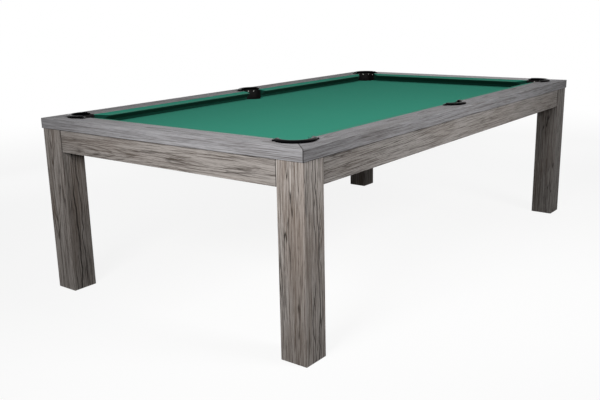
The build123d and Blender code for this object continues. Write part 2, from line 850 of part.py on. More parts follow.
def leg(name):
    """A square post, scooped at its inner top corner round the pocket and bored below for its foot."""
    x, y = foot_place(name)
    half = leg_size / 2
    post = block((x - half, y - half, 0), (x + half, y + half, slate_top))
    post = fillet(post.edges().filter_by(Axis.Z), leg_arris)
    pocket_x, pocket_y, turn = pocket_places()[name]
    scoop_low = pocket_bottom - frame_pocket_clearance
    cuts = [
        rod(frame_pocket_cut, scoop_low, slate_top + overrun, pocket_x, pocket_y),
        rod(glide_radius + glide_recess_clearance, -overrun, insert_seat, x, y),
        rod(insert_radius, 0, insert_seat + insert_length, x, y),
        rod(stud_radius + stud_hole_clearance, 0, stud_top + stud_hole_end_gap, x, y),
    ]
    return without(post, cuts + angle_bolts(f"leg_{name}", bolt_clearance))


def apron(side, rail):
    """A board between two legs, its outer long edges eased."""
    length, across, has_side_pocket = rail
    half = length / 2 - leg_inner
    low = (-half, apron_inset - across / 2, apron_bottom)
    board = block(low, (half, apron_inner - across / 2, slate_top))
    outer_face = board.faces().sort_by(Axis.Y)[0]
    board = fillet(outer_face.edges().filter_by(Axis.X), apron_arris)
    return without(turned_to(side, board), angle_bolts(f"apron_{side}", bolt_clearance))


def foot_insert(name):
    """The flanged metal insert that the foot's stud screws through."""
    x, y = foot_place(name)
    insert = rod(insert_radius, insert_bottom, insert_seat + insert_length, x, y)
    insert += rod(insert_flange_radius, insert_bottom, insert_seat, x, y)
    return insert - rod(stud_radius + stud_running_clearance, 0, stud_top, x, y)


def foot_stud(name):
    """A threaded stud with a hexagon collar, and a toe that turns in the glide."""
    x, y = foot_place(name)
    stud = rod(stud_toe_radius, toe_bottom, toe_top, x, y)
    stud += rod(stud_neck_radius, toe_bottom, collar_bottom, x, y)
    stud += hexagon(stud_collar_across_flats, collar_bottom, collar_top, x, y)
    return stud + rod(stud_radius, collar_top, stud_top, x, y)


def foot_glide(name):
    """A round glide that holds the stud's toe and stays still on the floor while the stud turns."""
    x, y = foot_place(name)
    glide = rod(glide_radius, glide_lift, glide_top, x, y)
    glide = chamfer(lowest_rim(glide), glide_arris)
    glide -= rod(stud_toe_radius + toe_clearance, toe_bottom - toe_clearance, toe_top + toe_clearance, x, y)
    return glide - rod(stud_neck_radius + toe_clearance, toe_top, glide_top + overrun, x, y)


def pocket_nodes():
    nodes = {}
    screws, pins = [], []
    for name in pocket_places():
        on_side = name.endswith("side")
        iron_angle = side_iron_half_angle if on_side else corner_iron_half_angle
        shield_angle = side_shield_half_angle if on_side else corner_shield_half_angle
        nodes[f"pocket_iron_{name}"] = at_pocket(name) * iron(iron_angle)
        nodes[f"pocket_leather_{name}"] = at_pocket(name) * leather(iron_angle, shield_angle)
        screws += [at_pocket(name) * screw for screw in ear_screws(iron_angle)]
        pins += [at_pocket(name) * pin for pin in rivets(iron_angle)]
    nodes["pocket_screws"] = group(screws)
    nodes["pocket_rivets"] = group(pins)
    return nodes


def frame_nodes():
    nodes = {}
    for side in ("front", "rear", "left", "right"):
        nodes[f"apron_{side}"] = apron(side, long_rail if side in ("front", "rear") else short_rail)
    for name in corners:
        nodes[f"leg_{name}"] = leg(name)
        nodes[f"foot_glide_{name}"] = foot_glide(name)
        nodes[f"foot_stud_{name}"] = foot_stud(name)
    nodes["foot_inserts"] = group([foot_insert(name) for name in corners])
    nodes["long_beam_front"] = long_beam("front")
    nodes["long_beam_rear"] = long_beam("rear")
    members = [cross_member(index) for index in range(len(member_places()))]
    nodes["end_members"] = group([members[0], members[-1]])
    nodes["seam_members"] = group(members[1:-1])
    places = angle_places()
    nodes["steel_angles"] = group([steel_angle(place) for place in places])
    nodes["angle_bolts"] = group([bolt for place in places for owner, bolt in bolts_of(place, 0.0)])
    return nodes


def build_parts():
    nodes = {}
    nodes.update(rails_and_cushions())
    nodes.update(slates_and_backing())
    nodes["bed_cloth"] = bed_cloth()
    nodes.update(pocket_nodes())
    nodes.update(frame_nodes())
    nodes["rail_bolts"] = group([rail_bolt(x, y) for x, y in all_rail_bolt_places()])
    nodes["slate_screws"] = group(all_slate_screws())
    return nodes


os.makedirs("parts", exist_ok=True)
for node, shape in build_parts().items():
    export_step(shape, f"parts/{node}.step")
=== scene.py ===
"""Finishes, cloth, pocket leathers and a plain studio for a convertible billiard table."""

import math
from dataclasses import dataclass
from functools import partial

import bmesh
import bpy
from mathutils import Matrix, Vector


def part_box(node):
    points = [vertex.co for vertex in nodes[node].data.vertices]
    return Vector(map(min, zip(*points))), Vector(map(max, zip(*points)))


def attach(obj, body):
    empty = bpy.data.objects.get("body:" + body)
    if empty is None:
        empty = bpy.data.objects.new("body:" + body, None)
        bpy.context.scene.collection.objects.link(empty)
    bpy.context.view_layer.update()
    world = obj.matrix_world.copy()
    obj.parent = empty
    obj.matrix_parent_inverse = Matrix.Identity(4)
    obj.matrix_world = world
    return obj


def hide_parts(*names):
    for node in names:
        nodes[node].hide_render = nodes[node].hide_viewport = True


bl_info = {
    "name": "Convertible billiard table",
    "version": (1, 0, 0),
    "blender": (4, 5, 0),
    "location": "3D View > Sidebar > Table",
    "description": "Finishes, cloth, pocket leathers and a plain studio for a billiard table",
    "category": "Object",
}

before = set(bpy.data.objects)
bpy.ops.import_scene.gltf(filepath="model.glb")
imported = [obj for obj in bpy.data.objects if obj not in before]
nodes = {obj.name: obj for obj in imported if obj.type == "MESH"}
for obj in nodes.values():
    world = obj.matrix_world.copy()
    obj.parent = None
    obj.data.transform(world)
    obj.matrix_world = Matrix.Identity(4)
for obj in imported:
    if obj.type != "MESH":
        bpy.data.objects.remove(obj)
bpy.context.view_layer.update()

MM = 0.001
X, Y, Z = range(3)
TABLE = "table"
SLATES = ["slate_left", "slate_middle", "slate_right"]
# Each side's way along it and its way in
SIDES = {
    "front": (Vector((1, 0, 0)), Vector((0, 1, 0))),
    "rear": (Vector((-1, 0, 0)), Vector((0, -1, 0))),
    "left": (Vector((0, -1, 0)), Vector((1, 0, 0))),
    "right": (Vector((0, 1, 0)), Vector((-1, 0, 0))),
}
# Each cushion with its side of the table and the pocket beyond each of its ends
CUSHIONS = {
    "front_left": ("front", "front_left", "front_side"),
    "front_right": ("front", "front_side", "front_right"),
    "rear_right": ("rear", "rear_right", "rear_side"),
    "rear_left": ("rear", "rear_side", "rear_left"),
    "left": ("left", "rear_left", "front_left"),
    "right": ("right", "front_right", "rear_right"),
}
# The way out of the table at each pocket
POCKETS = {
    "front_left": (-1, -1), "front_right": (1, -1), "rear_left": (-1, 1), "rear_right": (1, 1),
    "front_side": (0, -1), "rear_side": (0, 1),
}


def srgb(red, green, blue):
    """A colour as it is seen, from 0 to 255, as Blender's linear shares."""
    shares = [value / 255 for value in (red, green, blue)]
    return tuple(s / 12.92 if s <= 0.04045 else ((s + 0.055) / 1.055) ** 2.4 for s in shares)


def grey(level):
    return (level, level, level, 1.0)


def number(name, description, default, **kind):
    return bpy.props.FloatProperty(name=name, description=description, default=default, **kind)


def length(name, description, millimetres):
    return number(name, description, millimetres * MM, min=0, subtype="DISTANCE", unit="LENGTH")


def share(name, description, default):
    return number(name, description, default, min=0, subtype="FACTOR")


def angle(name, description, degrees):
    return number(name, description, math.radians(degrees), subtype="ANGLE", unit="ROTATION")


def watts(name, description, default):
    return number(name, description, default, min=0, unit="POWER")


def vector(name, description, default, **kind):
    return bpy.props.FloatVectorProperty(name=name, description=description, default=default, **kind)


def colour(name, description, red, green, blue):
    """A colour given as it is seen, from 0 to 255."""
    return vector(name, description, srgb(red, green, blue), min=0, max=1, subtype="COLOR")


# Sizes and colours that a user would change
class TABLE_PG_wood(bpy.types.PropertyGroup):
    light: colour("Light", "Early wood of the weathered oak, limed grey", 176, 171, 167)
    dark: colour("Dark", "Late wood, the dark lines of the grain", 80, 73, 68)
    brown: colour("Brown", "Warm streaks that the grey stain left", 122, 108, 97)
    crack: colour("Crack", "Pores and drying cracks", 34, 30, 27)
    # Painted shade with black stain, for the cut faces inside the pockets
    stain_and_shade: colour("Stained", "Cut faces inside the pockets, stained black", 20, 19, 18)
    ring: length("Ring", "Width of one year's growth", 3.6)
    raw: colour("Raw", "Unfinished wood of the hidden frame", 188, 160, 121)
    brushed_depth: length("Brushed depth", "Depth that wire brushing leaves in the grain", 0.35)


class TABLE_PG_cloth(bpy.types.PropertyGroup):
    bed: colour("Bed", "Cloth of the bed", 52, 140, 118)
    cushion: colour("Cushion", "Cloth of the cushions", 52, 140, 118)
    # Painted shade: the cushions' cloth below the nose is painted darker, for the shadow under the nose
    underside_shade: share("Underside", "How dark the cushions are below the nose, as a share", 0.16)
    thread: length("Thread", "Spacing of the threads in the weave", 0.55)
    thickness: length("Thickness", "Thickness of the cloth", 1.0)
    bed_overhang: length("Turned down", "Depth that the bed cloth is glued down in a pocket", 20)
    nose_height: length("Nose height", "Height of the cushion's nose over the bed", 36.5)
    nose_radius: length("Nose radius", "Rounding of the covered nose", 3.0)
    back_height: length("Back height", "Height of the rubber where it meets the rail", 28)
    end_softness: length("End softness", "Rounding of the folded cloth at a pocket", 2.2)
    folded_ends: length("Folded ends", "Length of a cushion's cloth that its two ends take", 40)
    side_mouth: length("Side mouth", "From a side pocket's middle to the nose's end", 66)
    side_jaw: angle("Side jaw", "How far a cushion's end leans back at a side pocket", 14)
    corner_mouth: length("Corner mouth", "Between the two noses at a corner pocket", 120)
    corner_jaw: angle("Corner jaw", "Between a cushion's end and its nose line at a corner pocket", 38)


class TABLE_PG_pocket(bpy.types.PropertyGroup):
    iron: colour("Iron", "Enamelled pocket iron", 5, 5, 6)
    leather: colour("Leather", "Dyed leather", 16, 15, 15)
    stitch: colour("Stitch", "Waxed thread", 34, 32, 30)
    radius: length("Radius", "Inner radius of a pocket", 58)
    cut: length("Cut", "Radius of the openings cut in the rails", 64.4)
    wall: length("Wall", "Thickness of the leather", 3)
    bottom_radius: length("Bottom radius", "Rounding between wall and bottom", 17)
    slot_margin: length("Slot margin", "Leather left whole above the straps", 10)
    slot_width: length("Slot width", "Gap between two straps", 22)
    straps: bpy.props.IntProperty(name="Straps", description="Straps round the cup", default=8, min=3)
    corner_shield: angle("Corner shield", "Half the sweep of a corner shield", 122)
    side_shield: angle("Side shield", "Half the sweep of a side shield", 104)


class TABLE_PG_stage(bpy.types.PropertyGroup):
    eye: vector("Eye", "Place of the camera", (-3.2353, -2.2128, 1.2504), subtype="XYZ")
    ahead: vector("Ahead", "Way the camera looks", (0.76689, 0.59115, -0.24984), subtype="XYZ")
    beside: vector("Beside", "Way to the right of the picture", (0.60627, -0.795, -0.02012), subtype="XYZ")
    lens: number("Lens", "Focal length in mm", 45.62, unit="CAMERA")
    key: watts("Key", "Lamp at the left of the camera", 18)
    front: watts("Front", "Lamp in front of the table", 25)
    top: watts("Top", "Lamp over the table", 7.2)
    far: watts("Far", "Lamp over the far end", 5)
    rear: watts("Rear", "Lamp low behind the table", 6)
    right: watts("Right", "Lamp low at the table's right end", 5)
    sky: share("Sky", "Even light from all round", 0.02)
    white: share("White", "How much of the floor's white doesn't depend on the lamps", 0.88)
    bounce: share("Bounce", "How much light the floor gives back to the object", 0.12)


GROUPS = {
    "wood": TABLE_PG_wood,
    "cloth": TABLE_PG_cloth,
    "pocket": TABLE_PG_pocket,
    "stage": TABLE_PG_stage,
}


def settings(name):
    return getattr(bpy.context.scene, f"billiard_{name}")


# Shader sums
def maths(operation, swapped=False):
    """A method that joins a Value to another, or to a number, by one Math node."""

    def method(value, other):
        pair = (other, value) if swapped else (value, other)
        return value.math(operation, *pair)

    return method


class Value:
    """A shader socket that takes part in Python sums."""

    def __init__(self, tree, socket):
        self.tree = tree
        self.socket = socket

    def math(self, operation, *values):
        return self.tree.node("ShaderNodeMath", {"operation": operation}, values)

    def apply(self, operation):
        return self.math(operation, self)

    __add__ = __radd__ = maths("ADD")
    __mul__ = __rmul__ = maths("MULTIPLY")
    __sub__, __rsub__ = maths("SUBTRACT"), maths("SUBTRACT", swapped=True)
    __truediv__ = maths("DIVIDE")
    __pow__ = maths("POWER")
    at_least, at_most = maths("MAXIMUM"), maths("MINIMUM")


# The middle of a pattern that runs from 0 to 1
MIDDLE = 0.5


def swing(base, *patterns):
    """A base, raised or lowered by each pattern's distance from its middle times a weight."""
    for pattern, weight in patterns:
        base = base + (pattern - MIDDLE) * weight
    return base


class Tree:
    """The nodes of a material or of the world."""

    def __init__(self, node_tree):
        self.nodes = node_tree.nodes
        self.links = node_tree.links

    def node(self, kind, options=None, inputs=(), output=0):
        """A node of a kind, its options set first, then its sockets by name or by number."""
        made = self.nodes.new(kind)
        for option, value in (options or {}).items():
            setattr(made, option, value)
        pairs = inputs.items() if isinstance(inputs, dict) else enumerate(inputs)
        for key, value in pairs:
            if isinstance(value, Value):
                self.links.new(value.socket, made.inputs[key])
            else:
                made.inputs[key].default_value = value
        if output is None:
            return None
        if isinstance(output, tuple):
            return [Value(self, made.outputs[key]) for key in output]
        return Value(self, made.outputs[output])

    def seen_white(self):
        """1 for rays from the camera, also in a mirror or through glass, 0 for light on the object."""
        ways = ("Is Camera Ray", "Is Glossy Ray", "Is Transmission Ray")
        camera, glossy, through = self.node("ShaderNodeLightPath", output=ways)
        return camera.at_least(glossy).at_least(through)


# Upward share of a face's normal where it counts as standing, and as looking up
STANDING, LOOKING_UP = 0.35, 0.85
# Where the darkening fades: off a pocket's cut, a painted shade with black stain, off a mitre, a dark
# joint line, and off an apron's end, a painted shade where the leg stands proud
POCKET_STAIN_AND_SHADE = (0.2 * MM, 0.9 * MM)
MITRE_STAIN = (0.9 * MM, 2.2 * MM)
APRON_JOINT_SHADE = (3.4 * MM, 6.0 * MM)


class Finish(Tree):
    """One material, the nodes that feed its shader, and the place on the object in metres."""

    def __init__(self, name, gloss=0.5, more=None):
        self.material = bpy.data.materials.new(name)
        self.material.use_nodes = True
        super().__init__(self.material.node_tree)
        self.shader = self.nodes["Principled BSDF"]
        for socket, value in {"Specular IOR Level": gloss, **(more or {})}.items():
            self.shader.inputs[socket].default_value = value
        spot = self.node("ShaderNodeTexCoord", output="Object")
        self.at = self.node("ShaderNodeSeparateXYZ", inputs=[spot], output=(X, Y, Z))

    def spot(self, x, y, z):
        return self.node("ShaderNodeCombineXYZ", inputs=[x, y, z])

    def noise(self, x, y, z, detail=2.0, roughness=0.5):
        """Cloudy values from 0 to 1, one cloud about one unit across."""
        inputs = {"Vector": self.spot(x, y, z), "Scale": 1.0, "Detail": detail, "Roughness": roughness}
        return self.node("ShaderNodeTexNoise", inputs=inputs)

    def clouds(self, often, detail=2.0, roughness=0.5, upright=None):
        """Noise with so many clouds to the metre, and another number of them upright if it differs."""
        x, y, z = self.at
        return self.noise(x * often, y * often, z * (upright or often), detail, roughness)

    def soft_step(self, value, low, high):
        """Rises smoothly from 0 to 1 between two values."""
        inputs = {"Value": value, "From Min": low, "From Max": high}
        return self.node("ShaderNodeMapRange", {"interpolation_type": "SMOOTHSTEP"}, inputs)

    def mix(self, factor, first, second, blend="MIX"):
        options = {"data_type": "RGBA", "blend_type": blend}
        tints = [tint if isinstance(tint, Value) else (*tint[:3], 1.0) for tint in (first, second)]
        return self.node("ShaderNodeMix", options, {0: factor, 6: tints[0], 7: tints[1]}, output=2)

    def tone(self, tint, level, balance=(1.0, 1.0, 1.0)):
        """A colour made lighter or darker by a level around 1, and warmer or cooler by a balance."""
        return self.mix(1.0, tint, self.spot(*(level * part for part in balance)), "MULTIPLY")

    def facing_up(self):
        """1 on faces that look up, falling to 0 on those that stand or hang."""
        way = self.node("ShaderNodeTexCoord", output="Normal")
        upward = self.node("ShaderNodeSeparateXYZ", inputs=[way], output=Z)
        return self.soft_step(upward, STANDING, LOOKING_UP)

    def in_pocket(self, name):
        """1 on the cut faces that a piece has inside the pockets, 0 on its other faces."""
        low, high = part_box(name)
        reach = settings("pocket").cut
        full, none = (reach + past for past in POCKET_STAIN_AND_SHADE)
        inside = 0.0
        for pocket in POCKETS:
            middle = pocket_middle(pocket)
            if all(low[axis] - reach < middle[axis] < high[axis] + reach for axis in (X, Y)):
                off = ((self.at[X] - middle.x) ** 2.0 + (self.at[Y] - middle.y) ** 2.0) ** 0.5
                inside = inside + (1 - self.soft_step(off, full, none))
        return inside

    def joint_line(self, name):
        """1 where the wood is darkened: at a rail's mitres, a dark joint line, or at the ends of an apron,
        a joint line widened into painted shade where the leg stands proud.
        """
        low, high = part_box(name)
        reach = [max(abs(low[axis]), abs(high[axis])) for axis in (X, Y)]
        past = [reach[axis] - self.at[axis].apply("ABSOLUTE") for axis in (X, Y)]
        if name.startswith("top_rail"):
            away = (past[X] - past[Y]).apply("ABSOLUTE") * math.sqrt(0.5)
            return 1 - self.soft_step(away, *MITRE_STAIN)
        # An apron's ends: its joint line and a painted shade where the leg beside it stands proud
        away = past[X if name.endswith(("front", "rear")) else Y]
        return 1 - self.soft_step(away, *APRON_JOINT_SHADE)

    def feed(self, socket, value):
        self.links.new(value.socket, self.shader.inputs[socket])

    def cover(self, tint, roughness, relief, depth, strength):
        """Feeds colour and roughness, and a relief from 0 to 1 over a depth in metres."""
        self.feed("Base Color", tint)
        self.feed("Roughness", roughness)
        inputs = {"Strength": strength, "Distance": depth, "Height": relief}
        self.feed("Normal", self.node("ShaderNodeBump", inputs=inputs))
        return self


def add_object(name, data):
    added = bpy.data.objects.new(name, data)
    bpy.context.scene.collection.objects.link(added)
    return added


def paint(finish, *pieces):
    """One finish on drawn pieces, or on nodes of the frame given by name."""
    for piece in pieces:
        materials = (nodes[piece] if isinstance(piece, str) else piece).data.materials
        materials.clear()
        materials.append(finish.material)


def centre_of(node):
    low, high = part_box(node)
    return (low + high) / 2


def parts(count, first=1):
    """Even shares of a whole, up to 1."""
    return [step / count for step in range(first, count + 1)]


def pocket_middle(name):
    return centre_of(f"pocket_leather_{name}")


# Wood. Shares of red, green and blue: the legs kept some brown, the rails took a cooler stain
OAK_BALANCE = (1.02, 1.0, 0.985)
RAIL_BALANCE = (0.95, 1.0, 1.09)
APRON_BALANCE = (1.0, 1.0, 1.0)


@dataclass
class Board:
    """How one piece was cut from its log, and what became of it since."""

    # Axis of the grain, where the heart lies off the piece's middle in metres, and how it leans
    grain: int
    heart: tuple
    lean: tuple
    # How light the stain is, a level that also holds painted light and shade fitted piece by piece, how
    # strong the grain is, and the share of brown streaks
    level: float
    contrast: float = 1.0
    warmth: float = 0.5
    # Shares: width of the rings, fineness of the fibre, and how much late wood darkens
    ring: float = 1.0
    fine: float = 1.0
    figure: float = 0.5
    # Depth of the planer's marks, and how light the foot is beside the top, a painted shade that darkens
    # the piece towards its foot
    chatter: float = 0.0
    foot: float = 1.0
    balance: tuple = OAK_BALANCE
    # Knots that pull the grain, as (height, side) in metres
    knots: tuple = ()
    # Drying checks, as (0 across or 1 deep, offset in metres, start, half width in mm)
    checks: tuple = ()


LONG_RAIL = {"contrast": 0.7, "warmth": 0.2, "fine": 1.3, "balance": RAIL_BALANCE}
END_RAIL = {"contrast": 0.6, "warmth": 0.12, "ring": 1.1, "fine": 1.3, "balance": RAIL_BALANCE}
END_APRON = {"contrast": 0.9, "warmth": 0.3, "fine": 1.4, "figure": 0.35, "chatter": 0.25}
LONG_APRON = {
    "contrast": 0.9, "warmth": 0.25, "fine": 1.5, "figure": 0.2, "chatter": 0.6, "balance": APRON_BALANCE,
}
# Each piece's level holds painted light and shade as well as its stain, so that pieces which the light
# reaches less, such as the right front leg, are painted darker
BOARDS = {
    "top_rail_front": Board(X, (0.012, -0.075), (0.012, 0.020), 0.67, **LONG_RAIL),
    "top_rail_rear": Board(X, (-0.02, -0.08), (-0.014, 0.018), 0.72, **LONG_RAIL),
    "top_rail_left": Board(Y, (-0.01, -0.09), (0.01, -0.022), 0.87, **END_RAIL),
    "top_rail_right": Board(Y, (0.01, -0.085), (-0.01, 0.02), 1.35, **END_RAIL),
    "apron_front": Board(X, (-0.085, 0.020), (0.012, 0.045), 0.72, **LONG_APRON),
    "apron_rear": Board(X, (0.085, -0.020), (-0.01, 0.04), 0.75, **LONG_APRON),
    "apron_left": Board(Y, (-0.09, -0.012), (0.012, -0.04), 0.8, **END_APRON),
    "apron_right": Board(Y, (0.09, 0.012), (-0.01, 0.05), 0.8, **END_APRON),
    "leg_front_left": Board(
        Z, (0.012, -0.088), (0.02, 0.045), 1.06, contrast=1.1, ring=1.15, fine=1.35, figure=0.4, foot=0.7,
        knots=((0.1, 0.012), (-0.12, 0.02)),
        checks=((0, 0.016, 3.3, 3.4), (0, -0.004, 8.1, 2.8), (0, 0.03, 5.7, 2.2)),
    ),
    "leg_front_right": Board(
        Z, (-0.02, -0.09), (-0.03, 0.035), 0.6, contrast=1.1, warmth=0.4, ring=1.15, fine=1.2, foot=0.85,
        balance=APRON_BALANCE, checks=((0, 0.01, 5.2, 2.0),),
    ),
    "leg_rear_left": Board(
        Z, (-0.1, 0.02), (0.05, -0.03), 0.86, contrast=1.05, ring=1.25, fine=1.2, foot=0.84,
        knots=((0.12, 0.0), (-0.15, -0.02)),
        checks=((0, -0.022, 1.4, 5.5), (0, 0.012, 6.6, 3.0), (1, 0.02, 4.0, 2.4)),
    ),
    "leg_rear_right": Board(Z, (-0.10, 0.03), (-0.03, 0.03), 0.75, ring=1.15, fine=1.2, foot=0.8),
}
# How far the heart wanders, the rings ripple, and a knot pulls them
HEART_WANDER, RING_RIPPLE, KNOT_PULL = 50 * MM, 14 * MM, 22 * MM
# How far a drying check strays
CHECK_WANDER = 85 * MM
# Spacing of the planer's marks, and their slope along and across the grain
CHATTER_SPACING, CHATTER_SLOPE = 7 * MM, (0.33, 0.94)
# Patterns of the grain: how many to the metre along it and across it, detail and roughness
GRAIN_PATTERNS = {
    "fibre": (16, 460, 4.0, 0.65),
    "streak": (6, 250, 3.0, 0.6),
    "broad": (3, 60, 2.0, 0.5),
    "cloud": (2, 9, 2.0, 0.5),
    "ridge": (3.4, 46, 2.0, 0.5),
}


def grain_first(grain):
    """The three axes, the grain's own first."""
    return [grain] + [axis for axis in (X, Y, Z) if axis != grain]


def late_wood(made, board, run, across, deep, ripple, seed):
    """The dark part of each year's growth, in rings round a heart that wanders."""
    along = run + seed
    wander = made.noise(along * 1.1, seed, 0.0, detail=1.0) - MIDDLE
    aside = across - run * board.lean[0] - board.heart[0] + wander * HEART_WANDER
    behind = deep - run * board.lean[1] - board.heart[1] + ripple * RING_RIPPLE
    for height, side in board.knots:
        far = ((run - height) * 6) ** 2.0 + ((across - side) * 30) ** 2.0
        aside = aside + (far * -1.0).apply("EXPONENT") * KNOT_PULL
    year = (aside * aside + behind * behind) ** 0.5 / (settings("wood").ring * board.ring)
    year = swing(year, (made.noise(along * 9, across * 90, deep * 90), 0.8))
    ring = year.apply("FRACT")
    strength = made.noise(year.apply("FLOOR") * 0.71, seed, 0.3, detail=0.0)
    late = made.soft_step(ring, 0.35, 0.80) * (1 - made.soft_step(ring, 0.86, 0.99))
    return late * made.soft_step(strength, 0.30, 0.62)


def drying_checks(made, board, along, across, deep):
    """Long dark cracks that wander along the grain, each open over a part of the board."""
    open_share = 0.0
    for side, offset, start, half_width in board.checks:
        here = (across, deep)[side]
        path = made.noise(along * 3.0 + start, start, 0.0, detail=3.0, roughness=0.6) - MIDDLE
        away = (here - offset + path * CHECK_WANDER).apply("ABSOLUTE")
        width = made.soft_step(made.noise(along * 4.5 + start, 0.0, start, detail=1.0), 0.32, 0.5)
        line = (1 - made.soft_step(away, half_width * 0.3 * MM, half_width * MM)) * width
        open_share = line + open_share
    return open_share


def weathered_oak(name, board, seed):
    """Oak, brushed and stained grey: growth rings round a heart outside the piece, cut by its faces."""
    wood = settings("wood")
    made = Finish(name, gloss=0.06)
    middle = centre_of(name)
    run, across, deep = (made.at[axis] - middle[axis] for axis in grain_first(board.grain))
    along = run + seed

    def pattern(kind, fine=1.0):
        often, often_across, detail, roughness = GRAIN_PATTERNS[kind]
        wide = often_across * fine
        return made.noise(along * often, across * wide, deep * wide + seed, detail, roughness)

    # The patterns of the grain
    ripple = made.noise(along * 2.4, across * 16 + seed, deep * 16) - MIDDLE
    late = late_wood(made, board, run, across, deep, ripple, seed)
    fibre, streak = pattern("fibre", board.fine), pattern("streak", board.fine)
    broad, cloud = pattern("broad"), pattern("cloud")
    pores = made.soft_step(made.noise(along * 30, across * 620, deep * 620, detail=1.0), 0.58, 0.70)
    split = made.noise(along * 3.0 + 7.3, across * 26, deep * 26 + seed, detail=1.0)
    ridge = (pattern("ridge") - MIDDLE).apply("ABSOLUTE")
    cracks = (1 - made.soft_step(ridge, 0.004, 0.036)) * made.soft_step(split, 0.53, 0.64)
    cracks = cracks * 0.75 * board.contrast**3 + drying_checks(made, board, along, across, deep)
    cracks = cracks.at_most(1.0)

    # Colour, from light early wood to dark cracks
    weights = ((streak, 2.6), (fibre, 1.5), (broad, 0.35), (cloud, 0.35))
    dark_share = swing(late * board.figure, *weights)
    if board.chatter:
        slope_along, slope_across = CHATTER_SLOPE
        slant = run * slope_along + (across + deep) * slope_across + ripple * 0.02
        marks = (slant * (math.tau / CHATTER_SPACING)).apply("SINE") * made.soft_step(broad, 0.4, 0.6)
        dark_share = dark_share + marks * (board.chatter * 0.3)
    dark_share = made.soft_step(dark_share * board.contrast + 0.24, 0.0, 1.0)
    tint = made.mix(dark_share, wood.light, wood.dark)
    warm = made.soft_step(swing(cloud, (streak, 0.6)), 0.42, 0.72) * board.warmth
    tint = made.mix(warm, tint, wood.brown)
    tint = made.mix(pores * 0.35 * board.contrast, tint, wood.crack)
    level = swing(1, (cloud, 0.22)) * board.level
    # Painted shade: the piece is darkened towards its foot, where less light falls
    if board.foot != 1:
        low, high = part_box(name)
        half = (high[board.grain] - low[board.grain]) / 2
        foot_shade = 1 - made.soft_step(run, -half, half)
        level = level * (1 - foot_shade * (1 - board.foot))
    tint = made.tone(tint, level, board.balance)
    tint = made.mix(cracks * 0.85, tint, wood.crack)

    # Dark joint lines at the mitres, painted shade at an apron's ends where the legs stand proud, and
    # painted shade with black stain on the pockets' cut faces
    if name.startswith(("top_rail", "apron")):
        tint = made.mix(made.joint_line(name) * 0.85, tint, wood.crack)
    if name.startswith("top_rail"):
        # Painted shade with black stain on the faces cut inside the pockets
        tint = made.mix(made.in_pocket(name), tint, wood.stain_and_shade)
    relief = (late * 0.4 + fibre * 0.3 + streak * 0.3) * (1 - pores * 0.5) * (1 - cracks)
    return made.cover(tint, 0.58 + fibre * 0.25 - late * 0.06, relief, wood.brushed_depth, strength=0.8)


def plain_timber(name, grain, tint, seed):
    """Planed wood with no finish, for the frame that nobody sees, with painted shade and black stain where
    a pocket cuts it.
    """
    made = Finish(name, gloss=0.3)
    run, across, deep = (made.at[axis] for axis in grain_first(grain))
    along = run + seed
    streak = made.noise(along * 1.5, across * 90, deep * 90 + seed, detail=4.0, roughness=0.6)
    wave = made.noise(along * 0.8, across * 9, seed)
    rings = (across * 130 + deep * 40 + wave * 9).apply("SINE")
    tint = made.tone(tint, swing(rings * 0.06 + 0.98, (streak, 0.5)))
    if name == "feather_strips":
        # Painted shade with black stain where a pocket cuts the strips
        tint = made.mix(made.in_pocket(name), tint, settings("wood").stain_and_shade)
    return made.cover(tint, 0.6 + streak * 0.2, streak, depth=0.2 * MM, strength=0.5)


class TABLE_OT_finish_wood(bpy.types.Operator):
    """Grey oak on rails, aprons and legs, and raw timber on the hidden frame"""

    bl_idname = "billiard.finish_wood"
    bl_label = "Finish the wood"

    def execute(self, context):
        first_seed, seed_step = 1.7, 2.3
        for index, (name, board) in enumerate(BOARDS.items()):
            paint(weathered_oak(name, board, first_seed + seed_step * index), name)
        raw = settings("wood").raw
        aged = [part * 0.85 for part in raw]
        timbers = {
            "long_beam_front": (X, raw, 0.0),
            "long_beam_rear": (X, raw, 3.1),
            "end_members": (Y, raw, 6.2),
            "seam_members": (Y, raw, 9.3),
            "slate_backing": (X, aged, 11.0),
            "feather_strips": (X, raw, 17.0),
        }
        for name, (grain, tint, seed) in timbers.items():
            paint(plain_timber(name, grain, tint, seed), name)
        return {"FINISHED"}


# Slate and rubber
def slate_finish():
    made = Finish("honed_slate", gloss=0.4)
    cloud = made.clouds(9, detail=5.0, roughness=0.6)
    layers = made.clouds(4, detail=3.0, upright=400)
    tint = made.tone(srgb(72, 76, 80), swing(1, (cloud, 0.7), (layers, 0.35)))
    relief = layers * 0.6 + cloud * 0.4
    return made.cover(tint, 0.5 + cloud * 0.25, relief, depth=0.3 * MM, strength=0.5)


def rubber_finish(name, tint):
    made = Finish(name, gloss=0.35)
    grain = made.clouds(700, detail=3.0)
    cloud = made.clouds(20)
    tint = made.tone(tint, swing(1, (cloud, 0.3)))
    return made.cover(tint, 0.65 + grain * 0.25, grain, depth=0.15 * MM, strength=0.4)


class TABLE_OT_finish_bed(bpy.types.Operator):
    """Honed slate, and moulded rubber behind the cushion cloth"""

    bl_idname = "billiard.finish_bed"
    bl_label = "Finish slate and rubber"

    def execute(self, context):
        paint(slate_finish(), *SLATES)
        gum = rubber_finish("gum_rubber", srgb(58, 50, 44))
        paint(gum, *(f"cushion_rubber_{side}" for side in SIDES))
        paint(rubber_finish("facing_rubber", srgb(24, 24, 24)), "cushion_facings")
        return {"FINISHED"}


